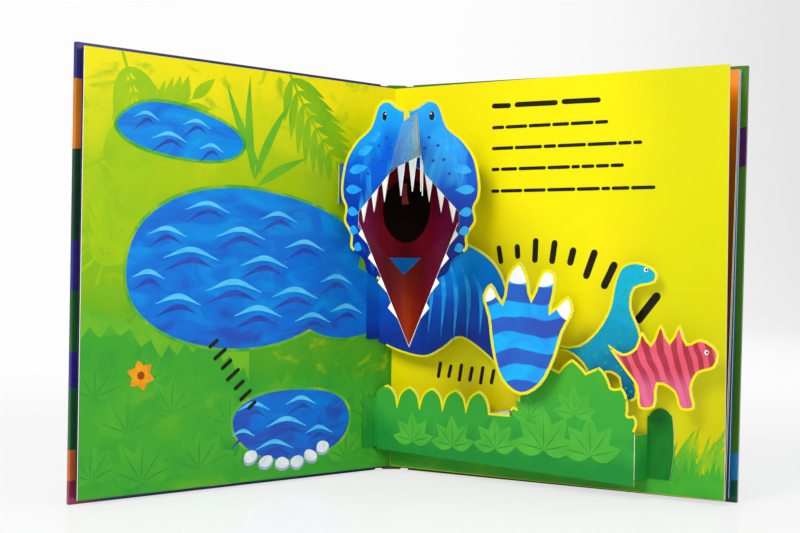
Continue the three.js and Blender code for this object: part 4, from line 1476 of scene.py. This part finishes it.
class POPUPBOOK_OT_struts(bpy.types.Operator):
    """Give the hidden struts and the folded pop-ups of the closed spreads their card"""

    bl_idname = "popup_book.struts"
    bl_label = "Struts"

    CARDS = {
        "strut_left": ("face_strut_left",),
        "strut_right": (
            "face_strut_right", "body_strut", "paw_spacer", "longneck_strut", "plateback_strut",
        ),
        "plain_card": ("folded_popup_before", "folded_popup_after", "folded_popup_last"),
    }

    def execute(self, context):
        for material, nodes in self.CARDS.items():
            for node in nodes:
                covered(frame["nodes"][node], [material])
        return {"FINISHED"}


# Stage

CAMERA_PLACE = Vector((-0.06821, -0.90220, 0.13673))
CAMERA_YAW = math.radians(4.59)
CAMERA_RISE = math.radians(0.365)
CAMERA_ROLL = math.radians(0.837)
BOOK_MIDDLE = Vector((0, -0.07, 0.12))
FLOOR_NEAR = -2.6
FLOOR_FAR = 2.4
FLOOR_WIDTH = 8
FLOOR_DROP = 0.1 * MM
BEND = 0.9  # radius of the curve from floor to wall
WALL = 3.2  # height of the wall above that curve


def camera_matrix():
    """The camera's place and turn: it looks along +Y, a little to the right."""
    level = Vector((math.cos(CAMERA_YAW), -math.sin(CAMERA_YAW), 0))
    ahead = UP.cross(level) * math.cos(CAMERA_RISE) + UP * math.sin(CAMERA_RISE)
    up = level.cross(ahead)
    right = level * math.cos(CAMERA_ROLL) + up * math.sin(CAMERA_ROLL)
    made = Matrix((right, right.cross(ahead), -ahead)).transposed().to_4x4()
    made.translation = CAMERA_PLACE
    return made


class POPUPBOOK_OT_stage(bpy.types.Operator):
    """Make the pale floor and backdrop, the studio lights and the camera"""

    bl_idname = "popup_book.stage"
    bl_label = "Stage"

    # Name, place, target, size in metres and power in watts
    LIGHTS = (
        ("key", (-0.95, -1.15, 1.25), BOOK_MIDDLE, 0.7, 22),
        ("fill", (1.2, -1.3, 0.8), BOOK_MIDDLE, 1.2, 9),
        ("top", (0.1, 0.3, 1.7), Vector((0, -0.05, 0)), 1.4, 10),
    )

    def execute(self, context):
        scene = context.scene
        bpy.ops.object.select_all(action="DESELECT")
        bpy.ops.object.camera_add()
        camera = context.object
        camera.name = "camera"
        camera.matrix_world = camera_matrix()
        camera.data.lens = scene.popup_sizes.lens
        camera.data.sensor_width = 36
        camera.data.clip_start = 0.01
        scene.camera = camera
        self.floor()
        for light in self.LIGHTS:
            self.light(*light)
        world = bpy.data.worlds.new("studio")
        scene.world = world
        world.use_nodes = True
        background = world.node_tree.nodes["Background"]
        background.inputs["Color"].default_value = (0.93, 0.94, 0.96, 1)
        background.inputs["Strength"].default_value = 0.45
        scene.view_settings.view_transform = "Standard"
        return {"FINISHED"}

    def light(self, name, place, target, size, power):
        bpy.ops.object.light_add(type="AREA", location=place)
        lamp = bpy.context.object
        lamp.name = name
        lamp.data.size = size
        lamp.data.energy = power
        lamp.rotation_mode = "QUATERNION"
        lamp.rotation_quaternion = (target - Vector(place)).to_track_quat("-Z", "Y")

    def floor(self):
        """A floor that curves up into a wall behind the book."""
        bpy.ops.mesh.primitive_grid_add(x_subdivisions=4, y_subdivisions=64, size=1)
        stage = bpy.context.object
        stage.name = "floor_and_backdrop"
        flat, curve = FLOOR_FAR - FLOOR_NEAR, BEND * math.pi / 2
        for vertex in stage.data.vertices:
            travel = (vertex.co.y + 0.5) * (flat + curve + WALL)
            angle = min(max(travel - flat, 0) / BEND, math.pi / 2)
            y = FLOOR_NEAR + min(travel, flat) + BEND * math.sin(angle)
            z = BEND * (1 - math.cos(angle)) + max(travel - flat - curve, 0) - FLOOR_DROP
            vertex.co = (vertex.co.x * FLOOR_WIDTH, y, z)
        only(stage)
        bpy.ops.object.shade_smooth()
        stage.data.materials.append(self.sweep())

    def sweep(self):
        """Pale glossy board that glows nearly white for the camera as painted light, greyer towards the
        right as painted shade, whiter the farther back it lies.
        """
        made = Finish("studio_sweep", 0.22, shine=0.35)
        pale = made.ramp(made.noise(1.2, 2.0), [(0.3, "EFEFF0"), (0.7, "F5F5F5")])
        made.fill(made.shader.inputs["Base Color"], pale)
        # Painted light: the board glows for the camera, greyer towards the right as painted shade
        side = made.smooth(made.axis(made.place, 0), 0.1, 2.4)
        white = made.ramp(side, [(0.0, "FDFDFD"), (1.0, "DEDEDE")])
        glow = made.node("ShaderNodeEmission", {"Color": white, "Strength": 1.0}).outputs[0]
        # The glow takes a larger share farther back; nearer the book it lightens part of the real shadows
        # as painted light
        distance = made.smooth(made.axis(made.place, 1), -0.15, 0.9)
        share = made.math("MULTIPLY_ADD", distance, 0.32, 0.68)
        seen = made.math("MULTIPLY", share, made.node("ShaderNodeLightPath").outputs["Is Camera Ray"])
        both = made.node("ShaderNodeMixShader", {0: seen, 1: made.shader.outputs[0], 2: glow})
        made.fill(made.tree.nodes["Material Output"].inputs["Surface"], both.outputs[0])
        return made.material


class POPUPBOOK_PT_panel(bpy.types.Panel):
    """The book's tools in the sidebar."""

    bl_idname = "POPUPBOOK_PT_panel"
    bl_label = "Pop-Up Book"
    bl_space_type = "VIEW_3D"
    bl_region_type = "UI"
    bl_category = "Pop-Up Book"

    def draw(self, context):
        layout = self.layout
        for group in (context.scene.popup_colours, context.scene.popup_sizes):
            for name in group.bl_rna.properties.keys():
                if name not in ("rna_type", "name"):
                    layout.prop(group, name)
        for operator in OPERATORS:
            layout.operator(operator.bl_idname)


OPERATORS = (
    POPUPBOOK_OT_stage,
    POPUPBOOK_OT_leaves,
    POPUPBOOK_OT_left_print,
    POPUPBOOK_OT_right_print,
    POPUPBOOK_OT_face,
    POPUPBOOK_OT_snout,
    POPUPBOOK_OT_jaw,
    POPUPBOOK_OT_lining,
    POPUPBOOK_OT_shoulder,
    POPUPBOOK_OT_bushes,
    POPUPBOOK_OT_animals,
    POPUPBOOK_OT_case,
    POPUPBOOK_OT_struts,
)
CLASSES = (PopupBookColours, PopupBookSizes, *OPERATORS, POPUPBOOK_PT_panel)


def register():
    for each in CLASSES:
        bpy.utils.register_class(each)
    bpy.types.Scene.popup_colours = PointerProperty(type=PopupBookColours)
    bpy.types.Scene.popup_sizes = PointerProperty(type=PopupBookSizes)


def unregister():
    del bpy.types.Scene.popup_colours
    del bpy.types.Scene.popup_sizes
    for each in reversed(CLASSES):
        bpy.utils.unregister_class(each)


def main():
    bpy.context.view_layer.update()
    register()
    for operator in OPERATORS:
        group, name = operator.bl_idname.split(".")
        getattr(getattr(bpy.ops, group), name)()


if __name__ == "__main__":
    main()
